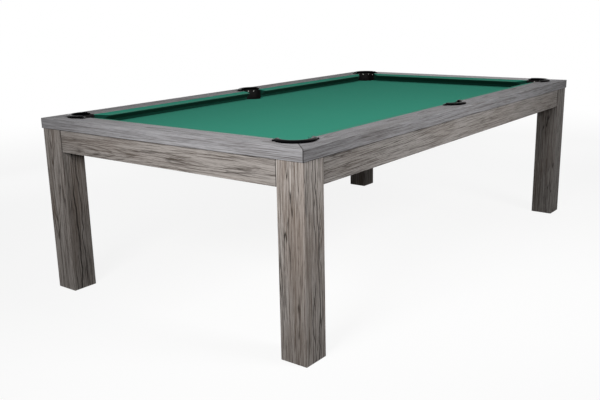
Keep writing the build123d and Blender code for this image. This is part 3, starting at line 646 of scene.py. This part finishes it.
# Cloth
def cloth_finish(name, tint, underside_shade=1.0):
    """Worsted cloth: a twill of fine threads under a short nap, with painted shade where it doesn't look
    up.
    """
    made = Finish(name, gloss=0.02, more={"Sheen Weight": 0.01, "Sheen Roughness": 0.6})
    x, y, z = made.at
    turn = math.tau / settings("cloth").thread
    slope = (y + z) * turn
    warp = (x * turn + slope * 0.5).apply("SINE")
    weft = (x * turn * 0.5 - slope).apply("SINE")
    weave = (warp * weft) * 0.5 + 0.5
    nap = made.clouds(900, detail=3.0, roughness=0.6)
    patch = made.clouds(2.2, detail=3.0)
    level = swing(1, (patch, 0.04), (weave, 0.05), (nap, 0.16))
    # Painted shade: the cloth is darkened where it doesn't look up, below the cushion's nose
    if underside_shade != 1:
        level = level * (made.facing_up() * (1 - underside_shade) + underside_shade)
    tint = made.tone(tint, level)
    relief = weave * 0.5 + nap * 0.5
    return made.cover(tint, 0.86 + nap * 0.12, relief, depth=0.12 * MM, strength=0.5)


def new_piece(name, mesh_maker, finish, replaced, smooth_degrees=None):
    """A mesh drawn by mesh_maker, which rides on the table in place of a CAD node."""
    mesh = bpy.data.meshes.new(name)
    drawing = bmesh.new()
    mesh_maker(drawing)
    bmesh.ops.recalc_face_normals(drawing, faces=drawing.faces)
    drawing.to_mesh(mesh)
    drawing.free()
    piece = add_object(name, mesh)
    if smooth_degrees is not None:
        mesh.shade_smooth()
        mesh.set_sharp_from_angle(angle=math.radians(smooth_degrees))
    paint(finish, piece)
    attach(piece, TABLE)
    if replaced:
        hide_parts(replaced)
    return piece


def join_rows(drawing, before, after):
    """Faces between two rows of as many points."""
    sides = zip(before[:-1], before[1:], after[1:], after[:-1])
    return [drawing.faces.new(corners) for corners in sides]


def thicken(piece, depth, offset):
    solid = piece.modifiers.new("Thickness", "SOLIDIFY")
    solid.thickness = depth
    solid.offset = offset


# Room round a pocket's leather, up to the bed cloth and up to a cushion
BED_CLEARANCE, CUSHION_CLEARANCE = 3 * MM, 1 * MM
# Faces along a notch, round its bend and down the turned edge
NOTCH_STEPS, BEND_STEPS, OVERHANG_STEPS = 40, 3, 4


def bed_notches():
    """Anticlockwise, for each pocket its centre and the round edge that the cloth has there."""
    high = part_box("bed_cloth")[1]
    opening = settings("pocket").radius + settings("pocket").wall + BED_CLEARANCE
    notches = []
    for name in ("front_side", "front_right", "rear_right", "rear_side", "rear_left", "front_left"):
        middle = pocket_middle(name)
        out_x, out_y = POCKETS[name]
        reach_y = high.y - abs(middle.y)
        beside = math.sqrt(opening**2 - reach_y**2)
        if out_x:
            reach_x = high.x - abs(middle.x)
            short = math.sqrt(opening**2 - reach_x**2)
            ends = [(-out_x * beside, out_y * reach_y), (out_x * reach_x, -out_y * short)]
            if out_x * out_y > 0:
                ends.reverse()
        else:
            ends = [(out_y * beside, out_y * reach_y), (-out_y * beside, out_y * reach_y)]
        inwards = math.atan2(-out_y, -out_x)
        turns = [math.remainder(math.atan2(y, x) - inwards, math.tau) + inwards for x, y in ends]
        arc = []
        for part in parts(NOTCH_STEPS, first=0):
            turn = turns[0] + (turns[1] - turns[0]) * part
            arc.append(Vector((math.cos(turn), math.sin(turn), 0)) * opening)
        notches.append((middle, arc))
    return high.z, notches


def draw_bed(drawing):
    """A flat sheet, notched at the pockets and turned down over the slate's edge in each."""
    cloth = settings("cloth")
    top, notches = bed_notches()
    bend, depth = cloth.thickness, cloth.bed_overhang
    bends = [math.pi / 2 * part for part in parts(BEND_STEPS)]
    turned = [(bend * math.sin(turn), bend * (1 - math.cos(turn))) for turn in bends]
    turned += [(bend, bend + depth * part) for part in parts(OVERHANG_STEPS)]
    edge = []
    for middle, arc in notches:
        before = [drawing.verts.new((middle.x + spot.x, middle.y + spot.y, top)) for spot in arc]
        edge += before
        for inset, drop in turned:
            after = []
            for spot in arc:
                near = spot * (1 - inset / spot.length)
                after.append(drawing.verts.new((middle.x + near.x, middle.y + near.y, top - drop)))
            for face in join_rows(drawing, before, after):
                face.smooth = True
            before = after
    bmesh.ops.triangulate(drawing, faces=[drawing.faces.new(edge)])


class TABLE_OT_lay_bed_cloth(bpy.types.Operator):
    """Green cloth stretched over the slates and turned down into the pockets"""

    bl_idname = "billiard.lay_bed_cloth"
    bl_label = "Lay the bed cloth"

    def execute(self, context):
        cloth = settings("cloth")
        finish = cloth_finish("bed_worsted", cloth.bed)
        piece = new_piece("bed_cloth_sheet", draw_bed, finish, "bed_cloth")
        thicken(piece, cloth.thickness, -1)
        return {"FINISHED"}


class CushionShape:
    """Sizes of one cushion, measured inwards from the rail's outer face and along the rail."""

    def __init__(self, name):
        side, first_pocket, last_pocket = CUSHIONS[name]
        self.along, self.inward = SIDES[side]
        box_low, box_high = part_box(f"cushion_cloth_{name}")
        corners = [Vector((x, y, 0)) for x in (box_low.x, box_high.x) for y in (box_low.y, box_high.y)]
        depths = [corner.dot(self.inward) for corner in corners]
        self.wood = min(depths)
        self.nose = max(depths)
        self.bed = box_low.z
        self.top = box_high.z
        self.nose_z = self.bed + settings("cloth").nose_height
        self.ends = [self.end_of(first_pocket, -1), self.end_of(last_pocket, 1)]

    def end_of(self, pocket, sign):
        """For one end: its place at the nose, its run from nose to wood, and the pocket's centre."""
        cloth = settings("cloth")
        middle = pocket_middle(pocket)
        middle_along = sign * middle.dot(self.along)
        middle_in = middle.dot(self.inward)
        deep = self.nose - self.wood
        if pocket.endswith("side"):
            mouth = middle_along - cloth.side_mouth
            run = deep * math.tan(cloth.side_jaw)
        else:
            # A corner pocket's middle lies as far behind one nose line as behind the other
            mouth = middle_along - (self.nose - middle_in) - cloth.corner_mouth / math.sqrt(2)
            run = deep / math.tan(cloth.corner_jaw)
        return sign, mouth, run, middle_along, middle_in

    def end_at(self, index, depth, inset=0.0):
        """Where the cushion ends along the rail at a depth, in by an inset."""
        sign, mouth, run, middle_along, middle_in = self.ends[index]
        behind = (self.nose - depth) / (self.nose - self.wood)
        place = mouth + run * behind
        clear = settings("pocket").radius + settings("pocket").wall + CUSHION_CLEARANCE
        beside = depth - middle_in
        if abs(beside) < clear:
            place = min(place, middle_along - math.sqrt(clear**2 - beside**2))
        return sign * (place - inset)

    def point(self, station, depth, height):
        spot = self.along * station + self.inward * depth
        return Vector((spot.x, spot.y, height))


# The cloth's tuck at the wood: how far in from it, and how far below the cushion's top
TUCK_START = 0.35 * MM
TUCK = ((0.0, 3.2 * MM), (0.1 * MM, 1.4 * MM), (0.5 * MM, 0.5 * MM), (1.4 * MM, 0.12 * MM))
# How far the top bulges, the underside sags and the nose's round is raised
TOP_BULGE, UNDER_SAG, NOSE_RAISED = 0.35 * MM, 1.2 * MM, 0.1 * MM
# Where the nose's round starts, as a share of its radius, and the slope that it ends on
NOSE_START_SHARE, UNDER_SLOPE = 0.9, math.radians(32)
# The wooden ledge behind the rubber, and the cloth's room before it and under the rubber
LEDGE, LEDGE_ROOM, BACK_ROOM = 18 * MM, 1 * MM, 3.2 * MM
TOP_STEPS, NOSE_STEPS, UNDER_STEPS, FOOT_STEPS = 12, 8, 8, 4
# Faces round a soft end, along the run and across the ledge
END_STEPS, RUN_STEPS, LEDGE_STEPS = 4, 24, 5


def cushion_profile(shape):
    """Section of the covered cushion as (depth, height), from the wood over the nose to the bed."""
    cloth = settings("cloth")
    radius = cloth.nose_radius
    wood = shape.wood + TUCK_START
    slope = (shape.top - shape.nose_z) / (shape.nose - shape.wood)
    points = [(wood + inset, shape.top - drop) for inset, drop in TUCK]
    tucked, dropped = TUCK[-1]
    start = wood + tucked
    run = shape.nose - radius * NOSE_START_SHARE - start
    for part in parts(TOP_STEPS):
        depth = start + run * part
        bulge = TOP_BULGE * math.sin(math.pi * part)
        points.append((depth, shape.top - (depth - shape.wood) * slope + bulge - dropped))
    top_angle = math.atan(slope)
    sweep = math.pi - top_angle - UNDER_SLOPE
    centre = (shape.nose - radius, points[-1][1] - radius * math.cos(top_angle) + NOSE_RAISED)
    for part in parts(NOSE_STEPS):
        turn = math.pi / 2 - top_angle - sweep * part
        points.append((centre[0] + radius * math.cos(turn), centre[1] + radius * math.sin(turn)))
    back = shape.wood + LEDGE + LEDGE_ROOM
    back_low = shape.top - cloth.back_height - BACK_ROOM
    last_depth, last_height = points[-1]
    for part in parts(UNDER_STEPS):
        sag = UNDER_SAG * math.sin(math.pi * part)
        height = last_height + (back_low - last_height) * part + sag
        points.append((last_depth + (back - last_depth) * part, height))
    return points + [(back, back_low + (shape.bed - back_low) * part) for part in parts(FOOT_STEPS)]


def drawn_in(points, amount):
    """The profile moved inwards by an amount, for the soft edge at an end."""
    if not amount:
        return list(points)
    moved = []
    for index, (depth, height) in enumerate(points):
        before = points[max(index - 1, 0)]
        after = points[min(index + 1, len(points) - 1)]
        run, rise = after[0] - before[0], after[1] - before[1]
        size = math.hypot(run, rise) or 1.0
        moved.append((depth + rise / size * amount, height - run / size * amount))
    return moved


def close_end(drawing, upper, lower, inward):
    """Narrow triangles between two rows of points that both run inwards."""
    rows = (upper, lower)
    at = [0, 0]
    while at[0] + 1 < len(upper) or at[1] + 1 < len(lower):
        ahead = []
        for row, place in zip(rows, at):
            ahead.append(row[place + 1].co.dot(inward) if place + 1 < len(row) else math.inf)
        side = ahead.index(min(ahead))
        drawing.faces.new((upper[at[0]], lower[at[1]], rows[side][at[side] + 1]))
        at[side] += 1


def draw_cushion(shape, drawing):
    """The cover: one profile carried along the rail, with a soft turned edge at both ends."""
    profile = cushion_profile(shape)
    soft = settings("cloth").end_softness
    turns = [math.pi / 2 * part for part in parts(END_STEPS, first=0)]
    rounds = [(soft * (1 - math.cos(turn)), soft * (1 - math.sin(turn))) for turn in turns]
    rows = [(0.0, *inset) for inset in rounds]
    rows += [(part, 0.0, 0.0) for part in parts(RUN_STEPS)[:-1]]
    rows += [(1.0, *inset) for inset in reversed(rounds)]
    loops = []
    for part, along_in, across_in in rows:
        loop = []
        for depth, height in drawn_in(profile, across_in):
            depth = max(min(depth, shape.nose), shape.wood)
            start = shape.end_at(0, depth, along_in)
            station = start + (shape.end_at(1, depth, along_in) - start) * part
            loop.append(drawing.verts.new(shape.point(station, depth, max(height, shape.bed))))
        loops.append(loop)
    for before, after in zip(loops[:-1], loops[1:]):
        join_rows(drawing, before, after)
    # The folded ends also cover the wooden ledge behind the rubber
    tip = profile.index(max(profile))
    ledge = profile[-1][0] - shape.wood
    for index, loop in ((0, loops[0]), (1, loops[-1])):
        rim = [(shape.wood, profile[0][1] - soft)]
        rim += [(shape.wood + ledge * part, shape.bed) for part in parts(LEDGE_STEPS, first=0)[:-1]]
        behind = [shape.point(shape.end_at(index, depth), depth, height) for depth, height in rim]
        corner, *foot = [drawing.verts.new(spot) for spot in behind]
        upper, lower = [corner, *loop[: tip + 1]], [*foot, *reversed(loop[tip + 1 :])]
        close_end(drawing, upper, lower, shape.inward)


class TABLE_OT_wrap_cushions(bpy.types.Operator):
    """Cloth wrapped over the six cushions, folded in at their ends"""

    bl_idname = "billiard.wrap_cushions"
    bl_label = "Wrap the cushions"

    def execute(self, context):
        cloth = settings("cloth")
        finish = cloth_finish("cushion_worsted", cloth.cushion, cloth.underside_shade)
        for name in CUSHIONS:
            shape = CushionShape(name)
            draw, node = partial(draw_cushion, shape), f"cushion_cloth_{name}"
            piece = new_piece(f"cushion_cover_{name}", draw, finish, node, smooth_degrees=35)
            thicken(piece, cloth.thickness, -1)
            profile = cushion_profile(shape)
            middle = (shape.wood + shape.nose) / 2
            run = shape.end_at(1, middle) - shape.end_at(0, middle)
        return {"FINISHED"}


# Pockets
def enamel_finish(name, tint):
    made = Finish(name, gloss=0.02)
    dimple = made.clouds(260)
    wear = made.soft_step(made.clouds(60, detail=4.0, roughness=0.65), 0.62, 0.75)
    tint = made.tone(tint, 1 + wear * 0.5)
    return made.cover(tint, 0.13 + wear * 0.15 + dimple * 0.05, dimple, depth=0.12 * MM, strength=0.35)


def leather_finish(name, tint):
    """Smooth dyed leather: pebbled grain, fine creases and a waxed sheen."""
    made = Finish(name, gloss=0.1)
    pebbles = made.spot(*(place * 620 for place in made.at))
    inputs = {"Vector": pebbles, "Scale": 1.0, "Randomness": 0.9}
    edge = made.node("ShaderNodeTexVoronoi", {"feature": "DISTANCE_TO_EDGE"}, inputs)
    crease = made.clouds(120, detail=4.0, roughness=0.6)
    cloud = made.clouds(16, detail=3.0)
    tint = made.tone(tint, swing(1, (cloud, 0.6), (crease, 0.3)))
    relief = made.soft_step(edge, 0.0, 0.18) * 0.7 + crease * 0.3
    roughness = 0.34 + crease * 0.25 + cloud * 0.08
    return made.cover(tint, roughness, relief, depth=0.18 * MM, strength=0.6)


def steel_finish(name, tint, metallic=1.0, rough=0.32):
    made = Finish(name, more={"Metallic": metallic})
    brushed = made.clouds(300, detail=3.0, upright=900)
    cloud = made.clouds(40, detail=3.0)
    tint = made.tone(tint, swing(1, (cloud, 0.25)))
    roughness = rough + brushed * 0.14 + cloud * 0.08
    return made.cover(tint, roughness, brushed, depth=0.05 * MM, strength=0.4)


# How much thinner a cup is than its solid in the frame, and how far its rim stays below the top
CUP_ROOM = 0.2 * MM
# Depth of the wall's first row, how far a strap bows out, and the rounding of the edges
RIM_DEPTH, STRAP_BOW, CUP_EDGE = 2 * MM, 0.9 * MM, 0.7 * MM
CUP_SHARP_DEGREES = 50
# Faces down the wall, down the straps, round the bottom's edge, in to its middle, and all round
WALL_STEPS, STRAP_STEPS, ROUND_STEPS, BOTTOM_STEPS, SECTORS = 8, 6, 6, 5, 120
# How many stitches go round the rim, and up each edge of the shield
RIM_STITCHES, EDGE_STITCHES = 52, 10
# A stitch's half sizes outwards, round the pocket and upwards
STITCH_LEVEL = (0.45 * MM, 1.9 * MM, 0.55 * MM)
STITCH_UPRIGHT = (0.45 * MM, 0.55 * MM, 1.9 * MM)
# How far the rim's row is below the slate and the edges' above it, the height that they leave
# free, and how far in they stand, in radians
RIM_DROP, EDGE_RISE, EDGE_FREE, EDGE_INSET = 5 * MM, 6 * MM, 30 * MM, 0.075


class PocketShape:
    """One pocket's middle, way out of the table and heights, and half the sweep of its shield."""

    def __init__(self, name):
        pocket = settings("pocket")
        low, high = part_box(f"pocket_leather_{name}")
        out_x, out_y = POCKETS[name]
        self.middle = pocket_middle(name)
        self.out = math.atan2(out_y, out_x)
        self.shield = pocket.side_shield if name.endswith("side") else pocket.corner_shield
        self.low, self.high = low.z, high.z
        self.slate_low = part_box("slate_middle")[0].z
        self.slot_low = self.low + pocket.bottom_radius + pocket.wall
        self.slot_high = self.slate_low - pocket.slot_margin

    def point(self, radius, turn, height):
        """A point at a radius from the middle and at a turn from the way out."""
        x, y = math.cos(self.out + turn), math.sin(self.out + turn)
        return Vector((self.middle.x + radius * x, self.middle.y + radius * y, height))

    def is_open(self, turn, height):
        """Whether the leather leaves this place free: beside its shield, or between two straps."""
        pocket = settings("pocket")
        if height > self.slate_low:
            return min(turn, math.tau - turn) > self.shield
        # The slots lie square to the pocket's way out, one between each two straps
        between = math.tau / pocket.straps
        to_slot = (turn + math.pi / 2 + between / 2) % between - between / 2
        half_slot = pocket.slot_width / 2 / pocket.radius
        return self.slot_low < height < self.slot_high and abs(to_slot) < half_slot


def cup_rows(shape):
    """The wall of a pocket as (radius, height) from the top down to the middle of the bottom."""
    pocket = settings("pocket")
    seat, floor = shape.high - CUP_ROOM, shape.low + pocket.wall
    rows = [(pocket.radius, height) for height in (seat, seat - RIM_DEPTH)]
    for part in parts(WALL_STEPS):
        rows.append((pocket.radius, seat - (seat - shape.slot_high) * part))
    fall = shape.slot_low - shape.slot_high
    for part in parts(STRAP_STEPS):
        bow = STRAP_BOW * math.sin(math.pi * part)
        rows.append((pocket.radius + bow, shape.slot_high + fall * part))
    turn = pocket.bottom_radius
    for part in parts(ROUND_STEPS):
        lean = math.pi / 2 * part
        rows.append((pocket.radius - turn * (1 - math.cos(lean)), floor + turn * (1 - math.sin(lean))))
    return rows + [((pocket.radius - turn) * (1 - part), floor) for part in parts(BOTTOM_STEPS)[:-1]]


def draw_cup(shape, drawing):
    """The shield and the strapped cup under it, as a thin sheet."""
    sector = math.tau / SECTORS
    rows = cup_rows(shape)
    grid = []
    for radius, height in rows:
        spots = [shape.point(radius, (index + 0.5) * sector, height) for index in range(SECTORS)]
        grid.append([drawing.verts.new(spot) for spot in spots])
    for row, (upper, lower) in enumerate(zip(grid[:-1], grid[1:])):
        height = (rows[row][1] + rows[row + 1][1]) / 2
        for index in range(SECTORS):
            if not shape.is_open((index + 1) * sector, height):
                after = (index + 1) % SECTORS
                drawing.faces.new((upper[index], upper[after], lower[after], lower[index]))
    hub = drawing.verts.new(shape.point(0, 0, rows[-1][1]))
    for index, vertex in enumerate(grid[-1]):
        drawing.faces.new((vertex, grid[-1][(index + 1) % SECTORS], hub))
    loose = [vertex for vertex in drawing.verts if not vertex.link_faces]
    bmesh.ops.delete(drawing, geom=loose, context="VERTS")


def draw_stitches(shape, drawing):
    """A row of waxed stitches round the cup's rim and down the shield's two front edges."""
    low = shape.slate_low - RIM_DROP
    places = [(math.tau * index / RIM_STITCHES, low, STITCH_LEVEL) for index in range(RIM_STITCHES)]
    rise = shape.high - shape.slate_low - EDGE_FREE
    for index in range(EDGE_STITCHES):
        height = shape.slate_low + EDGE_RISE + rise * index / (EDGE_STITCHES - 1)
        for sign in (-1, 1):
            places.append((sign * (shape.shield - EDGE_INSET), height, STITCH_UPRIGHT))
    for turn, height, size in places:
        spot = shape.point(settings("pocket").radius, turn, height)
        placed = Matrix.Translation(spot) @ Matrix.Rotation(shape.out + turn, 4, "Z")
        matrix = placed @ Matrix.Diagonal((*size, 1))
        bmesh.ops.create_icosphere(drawing, subdivisions=1, radius=1.0, matrix=matrix)


class TABLE_OT_dress_pockets(bpy.types.Operator):
    """Formed leather with straps and stitches under enamelled irons"""

    bl_idname = "billiard.dress_pockets"
    bl_label = "Dress the pockets"

    def execute(self, context):
        pocket = settings("pocket")
        enamel = enamel_finish("black_enamel", pocket.iron)
        hide = leather_finish("black_hide", pocket.leather)
        thread = cloth_finish("waxed_thread", pocket.stitch)
        for name in POCKETS:
            paint(enamel, f"pocket_iron_{name}")
            shape, node = PocketShape(name), f"pocket_leather_{name}"
            draw = partial(draw_cup, shape)
            cup = new_piece(f"pocket_cup_{name}", draw, hide, node, CUP_SHARP_DEGREES)
            thicken(cup, pocket.wall - CUP_ROOM, 1)
            edge = cup.modifiers.new("Edge", "BEVEL")
            edge.width = CUP_EDGE
            edge.segments = 2
            edge.limit_method = "ANGLE"
            edge.angle_limit = math.radians(CUP_SHARP_DEGREES)
            draw = partial(draw_stitches, shape)
            new_piece(f"pocket_stitches_{name}", draw, thread, None, smooth_degrees=180)
        screws = steel_finish("blackened_steel", srgb(38, 38, 40), metallic=0.9, rough=0.28)
        paint(screws, "pocket_screws")
        paint(steel_finish("nickel", srgb(190, 188, 182), rough=0.2), "pocket_rivets")
        return {"FINISHED"}


class TABLE_OT_finish_fittings(bpy.types.Operator):
    """Zinc-plated bolts, powder-coated angles and the levelling feet"""

    bl_idname = "billiard.finish_fittings"
    bl_label = "Finish the fittings"

    def execute(self, context):
        corners = [name for name in POCKETS if not name.endswith("side")]
        zinc = steel_finish("zinc_plate", srgb(176, 178, 176))
        paint(zinc, "rail_bolts", "slate_screws", "angle_bolts", "foot_inserts")
        paint(zinc, *(f"foot_stud_{corner}" for corner in corners))
        coat = steel_finish("powder_coat", srgb(36, 36, 37), metallic=0.1, rough=0.5)
        paint(coat, "steel_angles")
        pad = rubber_finish("glide_plastic", srgb(30, 30, 31))
        paint(pad, *(f"foot_glide_{corner}" for corner in corners))
        return {"FINISHED"}


# Studio
WHITE, FLOOR_PALE = 1.0, 0.9
# Half the floor's width, and the distances over which its shadows fade, in metres
FLOOR_REACH, FLOOR_FADE = 40.0, (2.2, 6.0)
# The width of the camera's film in mm, and how far it sees in metres
FILM_WIDTH, SIGHT = 36, 200
# Each lamp's place, the spot that it faces, its width and height, and its spread in degrees. The
# last two stay below the rails, so that they light the far sides and nothing that the photo shows
LAMPS = {
    "key": ((-3.5, -0.8, 2.0), (-1.3, -0.3, 0.75), (1.2, 1.0), 75),
    "front": ((-0.2, -3.3, 2.3), (-0.2, -0.75, 0.75), (1.4, 1.0), 90),
    "top": ((0.8, 0.2, 3.4), (0.4, 0, 0.7), (3.4, 2.4), 150),
    "far": ((1.7, 0.2, 2.9), (1.1, 0, 0.75), (1.6, 1.6), 130),
    "rear": ((0.2, 3.4, 0.4), (0.1, 0.7, 0.45), (1.6, 0.5), 100),
    "right": ((3.9, 0.1, 0.4), (1.2, 0, 0.45), (1.2, 0.5), 80),
}


def hang_lamp(name, place, aim, size, spread, power):
    light = bpy.data.lights.new(name, "AREA")
    light.spread = math.radians(spread)
    light.shape = "RECTANGLE"
    light.size, light.size_y = size
    light.energy = power
    holder = add_object(name, light)
    holder.location = place
    holder.rotation_euler = (Vector(aim) - Vector(place)).to_track_quat("-Z", "Y").to_euler()


def floor_finish(stage):
    """A pale floor that the camera sees as white, with the object's shadow on it."""
    made = Finish("studio_floor", gloss=0.1, more={"Base Color": grey(stage.bounce), "Roughness": 0.9})
    x, y, _ = made.at
    far = made.soft_step((x * x + y * y) ** 0.5, *FLOOR_FADE)
    pale = made.node("ShaderNodeBsdfDiffuse", inputs={"Color": grey(FLOOR_PALE)})
    glow = made.node("ShaderNodeEmission", inputs={"Color": grey(WHITE), "Strength": 1.0})
    lit_share = far * (1 - stage.white) + stage.white
    seen = made.node("ShaderNodeMixShader", inputs=[lit_share, pale, glow])
    plain = Value(made, made.shader.outputs[0])
    choice = made.node("ShaderNodeMixShader", inputs=[made.seen_white(), plain, seen])
    made.links.new(choice.socket, made.nodes["Material Output"].inputs["Surface"])
    return made


def lay_floor(stage):
    mesh = bpy.data.meshes.new("studio_floor")
    corners = [(x * FLOOR_REACH, y * FLOOR_REACH, 0) for x, y in ((-1, -1), (1, -1), (1, 1), (-1, 1))]
    mesh.from_pydata(corners, [], [(0, 1, 2, 3)])
    floor = add_object("studio_floor", mesh)
    paint(floor_finish(stage), floor)


def light_world(stage):
    """White where it is seen, and a faint even light on the object."""
    world = bpy.data.worlds.new("studio")
    bpy.context.scene.world = world
    world.use_nodes = True
    tree = Tree(world.node_tree)
    tree.nodes.clear()
    even = tree.node("ShaderNodeBackground", inputs={"Color": grey(WHITE), "Strength": stage.sky})
    white = tree.node("ShaderNodeBackground", inputs={"Color": grey(WHITE), "Strength": 1.0})
    choice = tree.node("ShaderNodeMixShader", inputs=[tree.seen_white(), even, white])
    tree.node("ShaderNodeOutputWorld", inputs={"Surface": choice}, output=None)


def place_camera(stage):
    camera = add_object("camera", bpy.data.cameras.new("camera"))
    ahead = Vector(stage.ahead).normalized()
    beside = Vector(stage.beside).normalized()
    turn = Matrix((beside, beside.cross(ahead), -ahead)).transposed().to_4x4()
    camera.matrix_world = Matrix.Translation(Vector(stage.eye)) @ turn
    camera.data.lens = stage.lens
    camera.data.sensor_width = FILM_WIDTH
    camera.data.clip_end = SIGHT
    bpy.context.scene.camera = camera


class TABLE_OT_set_stage(bpy.types.Operator):
    """Pale floor, soft lamps and the camera"""

    bl_idname = "billiard.set_stage"
    bl_label = "Set the stage"

    def execute(self, context):
        stage = settings("stage")
        lay_floor(stage)
        for name, (place, aim, size, spread) in LAMPS.items():
            hang_lamp(f"lamp_{name}", place, aim, size, spread, getattr(stage, name))
        light_world(stage)
        place_camera(stage)
        context.scene.view_settings.view_transform = "Standard"
        return {"FINISHED"}


OPERATORS = (
    TABLE_OT_finish_wood,
    TABLE_OT_finish_bed,
    TABLE_OT_lay_bed_cloth,
    TABLE_OT_wrap_cushions,
    TABLE_OT_dress_pockets,
    TABLE_OT_finish_fittings,
    TABLE_OT_set_stage,
)


class TABLE_PT_billiard(bpy.types.Panel):
    """The table's steps, in the order they are run"""

    bl_label = "Billiard table"
    bl_idname = "TABLE_PT_billiard"
    bl_space_type = "VIEW_3D"
    bl_region_type = "UI"
    bl_category = "Table"

    def draw(self, context):
        for operator in OPERATORS:
            self.layout.operator(operator.bl_idname)
        for name, group in GROUPS.items():
            box = self.layout.box()
            box.label(text=name.capitalize())
            for field in group.__annotations__:
                box.prop(settings(name), field)


CLASSES = (*GROUPS.values(), *OPERATORS, TABLE_PT_billiard)


def register():
    for kind in CLASSES:
        bpy.utils.register_class(kind)
    for name, group in GROUPS.items():
        setattr(bpy.types.Scene, f"billiard_{name}", bpy.props.PointerProperty(type=group))


def unregister():
    for name in GROUPS:
        delattr(bpy.types.Scene, f"billiard_{name}")
    for kind in reversed(CLASSES):
        bpy.utils.unregister_class(kind)


def main():
    register()
    for operator in OPERATORS:
        family, name = operator.bl_idname.split(".")
        if getattr(getattr(bpy.ops, family), name)() != {"FINISHED"}:
            raise RuntimeError(f"{operator.bl_label} didn't finish")


if __name__ == "__main__":
    main()
